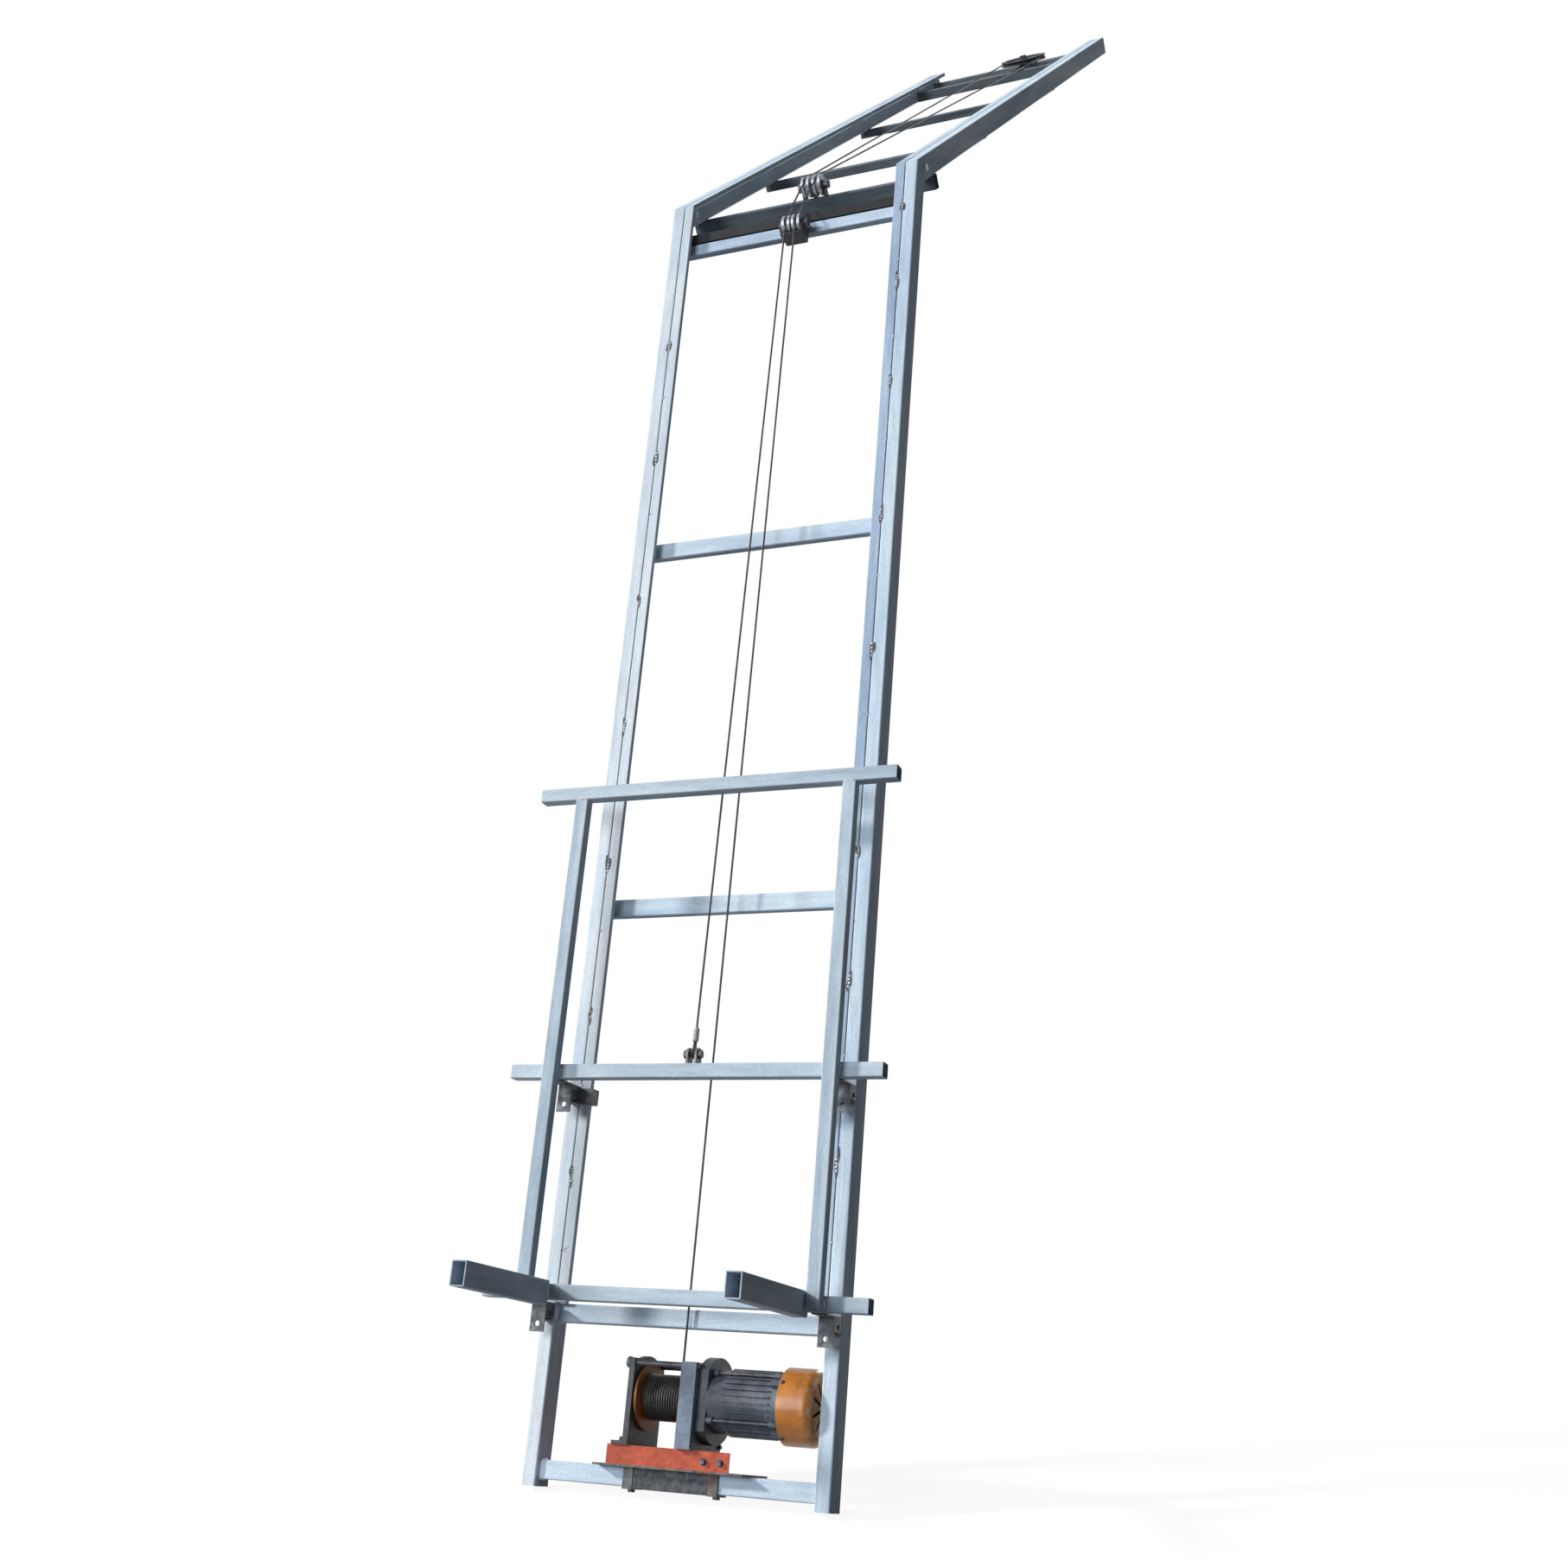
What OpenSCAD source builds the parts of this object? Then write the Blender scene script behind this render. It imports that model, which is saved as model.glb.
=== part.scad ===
// Inclined material hoist: a leaning ladder track with a bent-back roof section,
// a wheeled fork carriage, a rope over sheaves and an electric drum winch in the base.
// The part stands leaning back. The origin is on the ground, halfway between the heels of the two rails.
// +X is to the right, +Y runs away from the front and +Z is up.

/* [Stance] */
// Lean of the track away from upright, in degrees
lean = 15; // [0:1:30]
// Bend of the roof section back from the track, in degrees
bend = 42.5; // [20:0.5:60]

/* [Track] */
// Width of the track over both rails
track_w = 820; // [780:5:1000]
// Length of the track from the feet to the knee, along its front
track_l = 3817; // [3400:1:4500]
// Width of a rail tube
rail_w = 40; // [36:1:46]
// Depth of a rail tube
rail_d = 70; // [66:1:80]
// Wall of a rail tube
rail_wall = 3; // [2:0.5:5]
// Outer corner radius of a rail tube
rail_r = 5; // [4:0.5:8]
// Width of the guide strip inside each rail
strip_w = 30; // [24:1:36]
// Depth of the guide strip
strip_d = 15; // [10:1:18]
// Wall of the guide strip
strip_wall = 2; // [1:0.5:3]
// Height along the track at which the guide strips begin
strip_start = 440; // [400:5:600]
// Height of the two plain crossbars
bar_h = 50; // [40:1:60]
// Depth of the crossbars between the rails
bar_d = 25; // [20:1:30]
// Wall of the crossbars
bar_wall = 2.5; // [1.5:0.5:4]
// Distance of the crossbars behind the front of the rails
bar_set = 31; // [30:1:36]
// Place of the low crossbar along the track
low_bar_s = 1493; // [1200:1:1700]
// Place of the middle crossbar along the track
mid_bar_s = 2596; // [2300:1:2800]
// Height of the top crossbar, which carries the lower sheave block
top_bar_h = 40; // [34:1:46]
// Distance of the top crossbar below the knee
top_bar_in = 150; // [130:1:300]
// Height and depth of the dark tie bar over the top crossbar
tie_h = 36; // [24:1:38]
// Gap between the top crossbar and the tie bar
tie_gap = 4; // [2:1:8]
// Side of the square base bars
base_bar = 45; // [40:1:50]
// Place of the bottom base bar along the track
base_bar_s = 40; // [38:1:60]
// Place of the upper base bar along the track
base_top_s = 415; // [390:1:440]

/* [Roof section] */
// Length of the roof section from the knee to its far end
roof_l = 3280; // [2600:5:3800]
// Length of the welded stub above the knee
stub_l = 75; // [70:1:90]
// Length of the sleeve inside the stub and the roof rail
sleeve_l = 130; // [110:1:200]
// Clearance of the sleeve inside the rail tube
sleeve_fit = 0.3; // [0.1:0.1:0.8]
// Wall of the sleeve
sleeve_wall = 4; // [3:0.5:6]
// Place of the sleeve bolt in the stub, from the knee
knee_bolt_u = 54; // [50:1:60]
// Diameter of the sleeve bolts
knee_bolt_d = 12; // [8:1:14]
// Width of a roof crossbar along the roof
roof_bar_w = 40; // [34:1:50]
// Depth of the roof crossbar that carries the upper sheave block
roof_bar_d = 45; // [30:1:60]
// Depth of the low and middle roof crossbars
rest_bar_d = 30; // [24:1:45]
// Length of the slanting cut under the right end of those two crossbars
rest_bevel = 80; // [10:1:120]
// Place of the roof crossbar that carries the upper sheave block
knee_bar_u = 150; // [140:1:200]
// Place of the low roof crossbar
roof_low_u = 865; // [500:1:1000]
// Place of the middle roof crossbar
roof_mid_u = 2077; // [1600:1:2300]
// Side of the two square bars at the far end
end_bar = 38; // [30:1:40]
// Distance of the outer far bar from the far end
outer_bar_in = 100; // [80:1:160]
// Distance between the two far bars
end_bar_pitch = 300; // [260:1:360]
// Diameter of the cross hole in each roof rail's far end
end_hole_d = 13; // [9:0.5:18]
// Distance of that hole from the far end
end_hole_in = 45; // [30:1:55]

/* [Rope and sheaves] */
// Diameter of the hoist rope
rope_d = 6; // [4:0.5:6]
// Outer radius of the four block sheaves
sheave_r = 33; // [31:0.5:34]
// Radius of the rope's centreline on a block sheave
sheave_pitch_r = 28; // [26:0.5:29]
// Width of a block sheave
sheave_w = 26; // [18:1:28]
// Clearance of the rope in its groove and on the drum
groove_gap = 0.5; // [0.3:0.1:0.8]
// Flare of the sides of a rope groove, in degrees
groove_flare = 18; // [10:1:25]
// Diameter of the sheave pins
pin_d = 16; // [12:1:20]
// Running clearance between a shaft and its bore, on the radius
run_fit = 0.05; // [0.02:0.01:0.1]
// Gap between a sheave and the bar behind or under it
sheave_gap = 4; // [3:0.5:6]
// Sideways place of the lower block
lower_x = 20; // [0:1:40]
// Distance between the two sheaves of the lower block
lower_pitch = 32; // [30:1:40]
// Distance of the lower sheaves below the middle of the top crossbar
lower_drop = 12; // [5:0.5:16]
// Sideways place of the upper block
upper_x = 13; // [0:1:40]
// Distance between the two sheaves of the upper block
upper_pitch = 38; // [34:1:44]
// Thickness of the block cheeks
cheek_t = 5; // [3:0.5:6]
// Side gap between sheaves and what is beside them
cheek_gap = 1; // [0.5:0.1:1.5]
// Radius of the rope's centreline on the flat return sheave
return_r = 92; // [70:1:100]
// Width of the return sheave's rim
return_w = 20; // [16:1:24]
// Sideways place of the return sheave
return_x = 92; // [60:1:120]
// Width of the strap that carries the return sheave
strap_w = 50; // [40:1:70]
// Thickness of that strap
strap_t = 6; // [4:0.5:8]

/* [Carriage] */
// Reach of the carriage crossbars past each side of the track
carriage_over = 108; // [60:1:160]
// Height of the carriage crossbars and width of the uprights
frame_tube = 37; // [32:1:40]
// Wall of the carriage tubes
frame_wall = 2.5; // [2:0.5:4]
// Depth of the uprights
upright_d = 30; // [25:1:36]
// Distance from the rail front to the back of the carriage crossbars
stand_off = 81; // [75:1:100]
// Place of the lower carriage bar along the track
lower_bar_s = 454; // [450:1:480]
// Place of the middle carriage bar along the track
middle_bar_s = 1008; // [950:1:1100]
// Place of the head bar along the track
head_bar_s = 1769; // [1500:1:1900]
// Width of a fork
fork_w = 40; // [30:1:44]
// Height of a fork
fork_h = 60; // [40:1:66]
// Wall of a fork
fork_wall = 3; // [2:0.5:5]
// Length of a fork in front of the lower bar
fork_l = 389; // [250:1:600]
// Height of the fork's middle under the middle of the lower bar
fork_drop = 3; // [0:0.5:8]
// Gap between a fork and the upright beside it
fork_gap = 3; // [1:0.5:8]
// Radius of a track roller
roller_r = 18; // [15:0.5:20]
// Width of a track roller
roller_w = 26; // [20:1:28]
// Running gap between a roller and the rail
roller_gap = 0.3; // [0.2:0.1:0.5]
// Gap between a roller and the plates round it
roller_room = 3; // [2:0.5:6]
// Diameter of a roller axle
axle_d = 12; // [8:1:14]
// Thickness of the roller bracket plates
bracket_t = 4; // [3:0.5:5]
// Drop of a bracket's front plate under its bar
bracket_drop = 74; // [68:1:90]
// Gap between a roller and the bracket's front plate
bracket_room = 9; // [5:0.5:14]
// Diameter of the hole in a bracket's front plate
bracket_hole_d = 14; // [8:1:16]
// Distance of that hole from the lower edge of the plate
bracket_hole_in = 20; // [16:1:22]
// Gap of the keeper hooks from the guide strip
keeper_gap = 2.5; // [1:0.5:4]
// Thickness of the keeper hooks
keeper_t = 8; // [5:0.5:9]
// Height of the keeper hooks
keeper_h = 40; // [30:1:60]
// Grip of the keeper hooks over the guide strip
keeper_grip = 20; // [12:1:23]
// Radius of the clevis ears
ear_r = 16; // [12:0.5:18]
// Thickness of the clevis ears
ear_t = 6; // [4:0.5:10]
// Gap between the clevis ears
ear_gap = 18; // [14:0.5:22]
// Height of the clevis bolt over the middle bar
ear_h = 26; // [22:0.5:40]
// Diameter of the clevis bolt
clevis_bolt_d = 12; // [8:1:14]
// Length of the rope ferrule
ferrule_l = 55; // [40:1:80]
// Diameter of the rope ferrule
ferrule_d = 16; // [12:0.5:20]

/* [Winch base] */
// Distance of the drum axis behind the front of the rails
winch_set = 57; // [56:1:62]
// Height of the drum axis over the winch base
winch_up = 115.5; // [108:0.5:122]
// Thickness of the plate between base bar and winch base
shim_t = 5; // [3:0.5:8]
// Reach of that plate past each end of the winch base
shim_over = 36; // [10:1:60]
// Height of the folded winch base
foot_h = 45; // [35:1:50]
// Depth of the folded winch base
foot_d = 154; // [120:1:170]
// Sheet thickness of the folded winch base
foot_t = 4; // [2:0.5:6]
// Reach of the winch base past the end plate
foot_left = 42; // [34:1:60]
// Reach of the winch base under the motor
foot_right = 75; // [40:1:110]
// Slanting cut at the right end of the winch base, from nothing in front to this at the back
foot_cut = 70; // [0:1:90]
// Width of the two clamp straps round the base bar
clamp_w = 26; // [18:1:40]
// Thickness of the clamp straps
clamp_t = 5; // [3:0.5:6]
// Distance of each clamp strap from the end of the winch base
clamp_in = 50; // [25:1:80]
// Diameter of the clamp bolts
clamp_bolt_d = 10; // [6:1:12]

/* [Drum] */
// Length of the drum between its flanges
drum_l = 110; // [100:1:130]
// Radius of the drum flange at the end plate
flange_r = 80; // [70:1:84]
// Radius of the drum flange at the gear case
case_flange_r = 66; // [60:1:80]
// Thickness of the drum flanges
flange_t = 6; // [4:0.5:9]
// Gap between a drum flange and what is beside it
flange_gap = 4; // [2:0.5:8]
// Radius of the drum's plain core
core_r = 49; // [44:0.5:52]
// Turns in the outer layer of rope
turns = 15; // [8:1:15]
// Diameter of the drum shaft
shaft_d = 30; // [20:1:36]
// Thickness of the end plate
end_t = 14; // [8:1:20]
// Radius of the end plate's arched top
end_r = 96; // [90:1:104]
// Reach of the end plate's foot
end_foot = 30; // [15:1:33]
// Thickness of the end plate's foot
end_foot_t = 9; // [5:1:14]
// Radius of the tie rods
tie_rod_r = 7; // [5:0.5:8]
// Height of the tie rods over the drum axis
tie_rod_up = 76; // [72:0.5:77]
// Distance of the tie rods in front of and behind the drum axis
tie_rod_y = 72; // [70:0.5:78]

/* [Gears] */
// Thickness of the gear case
case_t = 40; // [38:1:44]
// Depth of the gear case
case_d = 180; // [176:1:190]
// Height of the gear case
case_h = 200; // [199:1:210]
// Radius of the round gear cover
cover_r = 102; // [95:1:106]
// Thickness of the gear cover
cover_t = 26; // [24:1:36]
// Distance of the gear cover's flat front from the drum axis
cover_flat = 72; // [70:1:90]
// Wall of the gear case and the gear cover
case_wall = 6; // [4:0.5:7]
// Radius of the gear space round each axis
gear_room_r = 39; // [38:0.5:42]
// Distance between the gear axes
gear_a = 42; // [41:0.5:43]
// Radius of the drum gear
drum_gear_r = 33; // [31:0.5:34]
// Radius of the countershaft gear
counter_gear_r = 35; // [33:0.5:36]
// Width of a gear
gear_w = 10; // [8:0.5:11]
// Gap between two meshing gears
gear_gap = 0.4; // [0.3:0.1:0.6]
// Gap between gears side by side
gear_side = 3; // [2:0.5:4]
// Diameter of the countershaft
counter_d = 12; // [8:1:14]

/* [Motor] */
// Radius of the motor shell
motor_r = 74; // [70:1:76]
// Wall of the motor shell
motor_wall = 6; // [4:0.5:8]
// Length of the motor shell
motor_l = 180; // [170:1:185]
// Thickness of the motor's end wall
motor_end_t = 10; // [6:1:14]
// Height of the cooling fins
fin_h = 5; // [3:0.5:6]
// Thickness of the cooling fins
fin_t = 3; // [2:0.5:4]
// Number of cooling fins
fin_n = 32; // [16:4:40]
// Length of the finned part
fin_l = 123; // [90:1:135]
// Distance of the fins from the motor's end
fin_in = 17; // [16:1:30]
// Radius of the motor's long bolts
long_bolt_r = 4; // [3:0.5:5]
// Radius of the bosses round the long bolts
boss_r = 8; // [7:0.5:10]
// Length of those bosses
boss_l = 15; // [10:1:16]
// Distance of the front bosses from the front of the motor shell
boss_in = 2; // [1:0.5:4]
// Gap between a long bolt and the fins beside it
bolt_room = 0.5; // [0.3:0.1:0.8]
// Radius of the stator's bore
stator_r = 43; // [38:0.5:48]
// Length of the stator
stator_l = 95; // [70:1:120]
// Air gap between stator and rotor
rotor_air = 0.6; // [0.3:0.1:1]
// Diameter of the motor shaft
motor_shaft_d = 20; // [15:1:24]
// Radius of the fan cover
fan_cover_r = 90; // [88:1:94]
// Length of the fan cover
fan_cover_l = 88; // [80:1:92]
// Sheet thickness of the fan cover
fan_cover_t = 2.5; // [1.5:0.5:4]
// Edge radius of the fan cover's end
fan_edge_r = 22; // [10:1:26]
// Air gap between the motor shell and the fan cover
fan_air = 7; // [5:1:10]
// Gap between the fan cover and the right rail
fan_clear = 14; // [8:1:40]
// Radius of the fan
fan_r = 76; // [60:1:80]
// Width of the fan
fan_w = 30; // [20:1:36]
// Thickness of a fan blade
blade_t = 3; // [2:0.5:4]
// Number of fan blades
blade_n = 7; // [5:1:9]
// Number of vents in the end of the fan cover
vent_n = 10; // [6:1:14]
// Width of a vent
vent_w = 7; // [4:0.5:9]

/* [Hidden] */
$fn = 64;

// One overrun serves every cut that has to pass a face.
over = 1;
// Size of the half-space blocks that make the mitre.
half_space = track_l + roof_l;
sides = [-1, 1];
half_turn = 180;

// Shares of the sizes that they follow
tube_r_share = 0.1;
strip_r_share = 0.2;
sleeve_r_share = 0.5;
bolt_head_share = 0.65;
nut_share = 0.85;
thread_share = 0.95;
hex_share = 1.95;
cheek_share = 1.25;
yoke_top_share = 0.9;
spacer_share = 0.8;
web_share = 0.4;
hub_share = 1.4;
neck_share = 0.9;
rod_rim_share = 1.6;
blade_root_share = 0.8;
vent_in_share = 0.22;
lug_w_share = 2;

// Places across and along the track
inner_w = track_w - 2 * rail_w;
rail_x = (track_w - rail_w) / 2;
strip_x = (inner_w - strip_w) / 2;
base_set = (rail_d - base_bar) / 2;
top_bar_s = track_l - top_bar_in;
tie_s = top_bar_s + top_bar_h / 2 + tie_gap + tie_h / 2;
bolt_fit = run_fit;

// Places along the roof and under the front of its rails
sleeve_u = rail_d * tan(bend / 2);
outer_bar_u = roof_l - outer_bar_in;
inner_bar_u = outer_bar_u - end_bar_pitch;
return_u = (inner_bar_u + outer_bar_u) / 2;
end_top_y = rail_d - end_bar;

// Sheave blocks: the lower one in track places, the upper one in roof places
rope_r = rope_d / 2;
groove_r = rope_r + groove_gap;
pin_r = pin_d / 2;
lower_y = bar_set - sheave_gap - sheave_r;
lower_s = top_bar_s - lower_drop;
lower_half = lower_pitch / 2 + sheave_w / 2 + cheek_gap;
upper_y = rail_d - sheave_gap - sheave_r;
upper_half = upper_pitch / 2 + sheave_w / 2 + cheek_gap;
roof_rope_y = upper_y - sheave_pitch_r;
return_top_y = roof_rope_y - return_w / 2;
return_hub_y = end_top_y - strap_t - cheek_gap;

// Carriage planes in front of the rails, where y is negative
carriage_w = track_w + 2 * carriage_over;
upright_x = rail_x;
fork_x = upright_x - frame_tube / 2 - fork_w / 2 - fork_gap;
bars_y = -stand_off - frame_tube / 2;
bars_front = -stand_off - frame_tube;
head_y = bars_front - upright_d + frame_tube / 2;
frame_r = frame_tube * tube_r_share;
roller_y = -roller_r - roller_gap;
bracket_w = roller_w + 2 * (roller_room + bracket_t);
ear_out = ear_gap / 2 + ear_t;

// Winch: heights along the track, places along the drum axis
shim_s = base_bar_s + base_bar / 2;
foot_s = shim_s + shim_t;
floor_s = foot_s + foot_h;
winch_s = floor_s + winch_up;
case_x = inner_w / 2 - fan_clear - fan_cover_l - fan_air - motor_l - cover_t - case_t;
drum_end_x = case_x - flange_gap - flange_t;
drum_x = drum_end_x - drum_l;
end_x = drum_x - flange_t - flange_gap;
end_out_x = end_x - end_t;
cover_x = case_x + case_t;
motor_x = cover_x + cover_t;
motor_end_x = motor_x + motor_l;
fan_cover_x = motor_end_x + fan_air;
foot_x0 = end_out_x - foot_left;
foot_x1 = motor_x + foot_right;
rod_rim = tie_rod_r * rod_rim_share;
end_half = tie_rod_y + rod_rim;
low_gear_x = case_x + case_wall + gear_side;
top_gear_x = low_gear_x + gear_w + 2 * gear_side;
nose_end_x = top_gear_x + gear_w + gear_side;
counter_x0 = case_x + case_wall / 2;
counter_x1 = motor_x - case_wall / 2;
counter_pinion_r = gear_a - drum_gear_r - gear_gap;
motor_pinion_r = gear_a - counter_gear_r - gear_gap;
long_bolt_pcd_r = motor_r + fin_h;
long_bolt_turns = [for (i = [0:3]) 35 + 90 * i];
lug_turns = [for (i = [0:3]) 55 + 90 * i];
lug_out_r = fan_cover_r - fan_cover_t - run_fit;
lug_w = boss_r * lug_w_share;
lug_l = boss_l + 2 * fan_air;
stator_x = motor_x + (motor_l - motor_end_t - stator_l) / 2;
fan_x = fan_cover_x + 2 * fan_air;
fan_hub_r = motor_shaft_d * blade_root_share;

// Places

module on_track() {
  rotate([-lean, 0, 0]) translate([0, -rail_d, 0]) children();
}

module on_roof() {
  on_track() translate([0, 0, track_l]) rotate([-bend, 0, 0]) children();
}

// About the drum axis, with z to the right, x down the track and y away from the front.
module on_winch() {
  on_track() translate([0, winch_set, winch_s]) rotate([0, 90, 0]) children();
}

// A place in the roof's plane, given in track coordinates.
function roof_pt(x, y, u) =
  [x, y * cos(bend) + u * sin(bend), track_l - y * sin(bend) + u * cos(bend)];

// Shapes

// Rectangle with round corners, centred.
module section(w, d, r) {
  square([w - 2 * r, d], center = true);
  square([w, d - 2 * r], center = true);
  for (x = sides, y = sides) translate([x * (w / 2 - r), y * (d / 2 - r)]) circle(r);
}

// Hollow tube along z from zero, centred in x and y.
module tube(w, d, l, wall, r) {
  linear_extrude(l) difference() {
    section(w, d, r);
    square([w - 2 * wall, d - 2 * wall], center = true);
  }
}

// Hollow tube along x, centred, with its height along z and its depth along y.
module cross_tube(l, h, d, wall, r) {
  translate([-l / 2, 0, 0]) rotate([0, 90, 0]) tube(h, d, l, wall, r);
}

// Block between two places on each axis.
module block(x0, x1, y0, y1, z0, z1) {
  translate([x0, y0, z0]) cube([x1 - x0, y1 - y0, z1 - z0]);
}

// Flat plate between two places on x, from an outline in y and z.
module plate_x(x0, x1) {
  translate([x0, 0, 0]) rotate([90, 0, 90]) linear_extrude(x1 - x0) children();
}

// Round bar along x between two places.
module bar_x(x0, x1, r) {
  translate([x0, 0, 0]) rotate([0, 90, 0]) cylinder(r = r, h = x1 - x0);
}

// Hexagon along x, given by the radius of its thread.
module hex_x(x0, x1, r) {
  translate([x0, 0, 0]) rotate([0, 90, 0]) cylinder(r = r * hex_share, h = x1 - x0, $fn = 6);
}

// Bolt along x through a grip, with a head at the low end and a nut and thread at the high end.
module bolt_x(x0, x1, r) {
  hex_x(x0 - 2 * r * bolt_head_share, x0, r);
  bar_x(x0, x1 + 2 * r * thread_share, r);
  hex_x(x1, x1 + 2 * r * nut_share, r);
}

// Turns z to a direction.
module along(v) {
  rotate([0, acos(v[2] / norm(v)), atan2(v[1], v[0])]) children();
}

// Everything past the mitre plane of the knee, in track places.
module past_mitre() {
  translate([0, 0, track_l]) rotate([-bend / 2, 0, 0]) translate([-half_space / 2, -half_space / 2, 0])
    cube(half_space);
}

// Everything before the mitre plane of the knee, in roof places.
module before_mitre() {
  rotate([bend / 2, 0, 0]) translate([-half_space / 2, -half_space / 2, -half_space]) cube(half_space);
}

// One rail or strip that runs from a height on the track through the knee to the end of the stub.
module bent_tube(x, w, d, wall, r, start) {
  on_track() difference() {
    translate([x, d / 2, start]) tube(w, d, track_l - start, wall, r);
    past_mitre();
  }
  on_roof() difference() {
    translate([x, d / 2, 0]) tube(w, d, stub_l, wall, r);
    before_mitre();
  }
}

// Rope groove cut into a wheel about z.
module groove(pitch_r, rim_r) {
  top_r = rim_r + over;
  top_half = groove_r + (top_r - pitch_r) * tan(groove_flare);
  translate([pitch_r, 0]) circle(groove_r);
  polygon([[pitch_r, -groove_r], [top_r, -top_half], [top_r, top_half], [pitch_r, groove_r]]);
}

// Grooved wheel along x, centred on its rope.
module block_sheave() {
  bore_r = pin_r + run_fit;
  rotate([0, 90, 0]) rotate_extrude() difference() {
    translate([bore_r, -sheave_w / 2]) square([sheave_r - bore_r, sheave_w]);
    groove(sheave_pitch_r, sheave_r);
  }
}

// Paths

function unit(v) = v / norm(v);

// Direction of the path at each of its points.
function headings(p) = [
  for (i = [0:len(p) - 1])
    unit((i < len(p) - 1 ? unit(p[i + 1] - p[i]) : [0, 0, 0]) + (i > 0 ? unit(p[i] - p[i - 1]) : [0, 0, 0]))
];

// Side vectors carried along the path without twist.
function carried(h, v) = [
  for (i = 0, w = unit(v - (v * h[0]) * h[0]); i < len(h);
       i = i + 1, w = i < len(h) ? unit(w - (w * h[i]) * h[i]) : w) w
];

// Round tube swept along a path, with flat ends.
module swept(p, r, n, first) {
  h = headings(p);
  a = carried(h, first);
  pts = [
    for (i = [0:len(p) - 1])
      let (b = cross(h[i], a[i]))
      for (k = [0:n - 1]) p[i] + r * (cos(360 * k / n) * a[i] + sin(360 * k / n) * b)
  ];
  last = (len(p) - 1) * n;
  walls = [
    for (i = [0:len(p) - 2], k = [0:n - 1])
      let (k2 = (k + 1) % n, q = i * n)
      each [[q + k, q + n + k, q + k2], [q + k2, q + n + k, q + n + k2]]
  ];
  caps = [for (k = [1:n - 2]) each [[0, k, k + 1], [last, last + k + 1, last + k]]];
  polyhedron(points = pts, faces = concat(walls, caps), convexity = 10);
}

// Rope route, in track places

rope_sides = 8;
block_steps = 4;
return_steps = 24;
in_x = lower_x + lower_pitch / 2;
out_x = lower_x - lower_pitch / 2;
in_up_x = upper_x + upper_pitch / 2;
out_up_x = upper_x - upper_pitch / 2;
lower_c = [lower_y, lower_s];
upper_c = [
  upper_y * cos(bend) + knee_bar_u * sin(bend),
  track_l - upper_y * sin(bend) + knee_bar_u * cos(bend)
];
drum_c = [winch_set, winch_s];
eye_c = [bars_y, middle_bar_s + frame_tube / 2 + ear_h];

// Angle of a direction in the track's side plane: zero along the track, growing away from the front.
function tilt(v) = atan2(v[0], v[1]);
// Place on the front of a circle where a rope runs with the given tilt.
function front_of(c, r, t) = [c[0] - r * cos(t), c[1] + r * sin(t)];
// Rope round the front of a block sheave, from one tilt to another.
function arc(x, c, t0, t1) = [
  for (i = [0:block_steps])
    let (q = front_of(c, sheave_pitch_r, t0 + (t1 - t0) * i / block_steps)) [x, q[0], q[1]]
];

winding_r = core_r + groove_r;
block_tilt = tilt(upper_c - lower_c);
winch_tilt = tilt(lower_c - drum_c) + asin((winding_r - sheave_pitch_r) / norm(lower_c - drum_c));
eye_tilt = tilt(lower_c - eye_c) - asin(sheave_pitch_r / norm(lower_c - eye_c));
return_run = return_u - knee_bar_u;
return_from = -atan((return_x + return_r - in_up_x) / return_run);
return_to = half_turn - atan((return_x - return_r - out_up_x) / return_run);
return_arc = [
  for (i = [0:return_steps])
    let (a = return_from + (return_to - return_from) * i / return_steps)
    roof_pt(return_x + return_r * cos(a), roof_rope_y, return_u + return_r * sin(a))
];

// The carriage's end of the rope: an eye on the clevis bolt, a ferrule and a straight line up
eye_at = [0, eye_c[0], eye_c[1]];
eye_top_q = front_of(lower_c, sheave_pitch_r, eye_tilt);
eye_top = [out_x, eye_top_q[0], eye_top_q[1]];
eye_dir = unit(eye_top - eye_at);
eye_loop_r = clevis_bolt_d / 2 + groove_r;
ferrule_from = eye_loop_r + rope_d;
ferrule_end = eye_at + eye_dir * (ferrule_from + ferrule_l);
rope_start = ferrule_end + eye_dir * groove_gap;
rope_join = eye_top - eye_dir * rope_d;

// Outer layer of rope on the drum, about the drum axis, with a straight lead at each end
wind_steps = 24;
wind_sides = 6;
wind_pitch = (drum_l - 2 * groove_r) / turns;
wind_x0 = drum_x + groove_r;
wind_turn = [
  for (i = [0:turns * wind_steps])
    let (t = winch_tilt - 360 * (turns - i / wind_steps))
    [wind_x0 + wind_pitch * i / wind_steps, -winding_r * cos(t), winding_r * sin(t)]
];
wind_lead = [0, sin(winch_tilt), cos(winch_tilt)] * rope_d;
wind_path = concat([wind_turn[0] - wind_lead], wind_turn, [wind_turn[len(wind_turn) - 1] + wind_lead]);
wind_top = wind_path[len(wind_path) - 1] + [0, winch_set, winch_s];

// Least gap between one turn and the next, on the points of the path.
wind_gap = min([
  for (i = [0:len(wind_path) - 1], k = [-2:2])
    let (j = i + wind_steps + k) if (j < len(wind_path)) norm(wind_path[j] - wind_path[i]) - rope_d
]);
echo(least_gap_between_turns_mm = wind_gap);

run_path = concat(
  [wind_top + unit(wind_lead) * groove_gap],
  arc(in_x, lower_c, winch_tilt, block_tilt),
  arc(in_up_x, upper_c, block_tilt, bend),
  return_arc,
  arc(out_up_x, upper_c, bend, block_tilt),
  arc(out_x, lower_c, block_tilt, eye_tilt),
  [rope_join + eye_dir * run_fit]
);

// Track

module left_rail() {
  color("lightsteelblue") stub_rail(-1);
}

module right_rail() {
  color("lightsteelblue") stub_rail(1);
}

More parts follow.
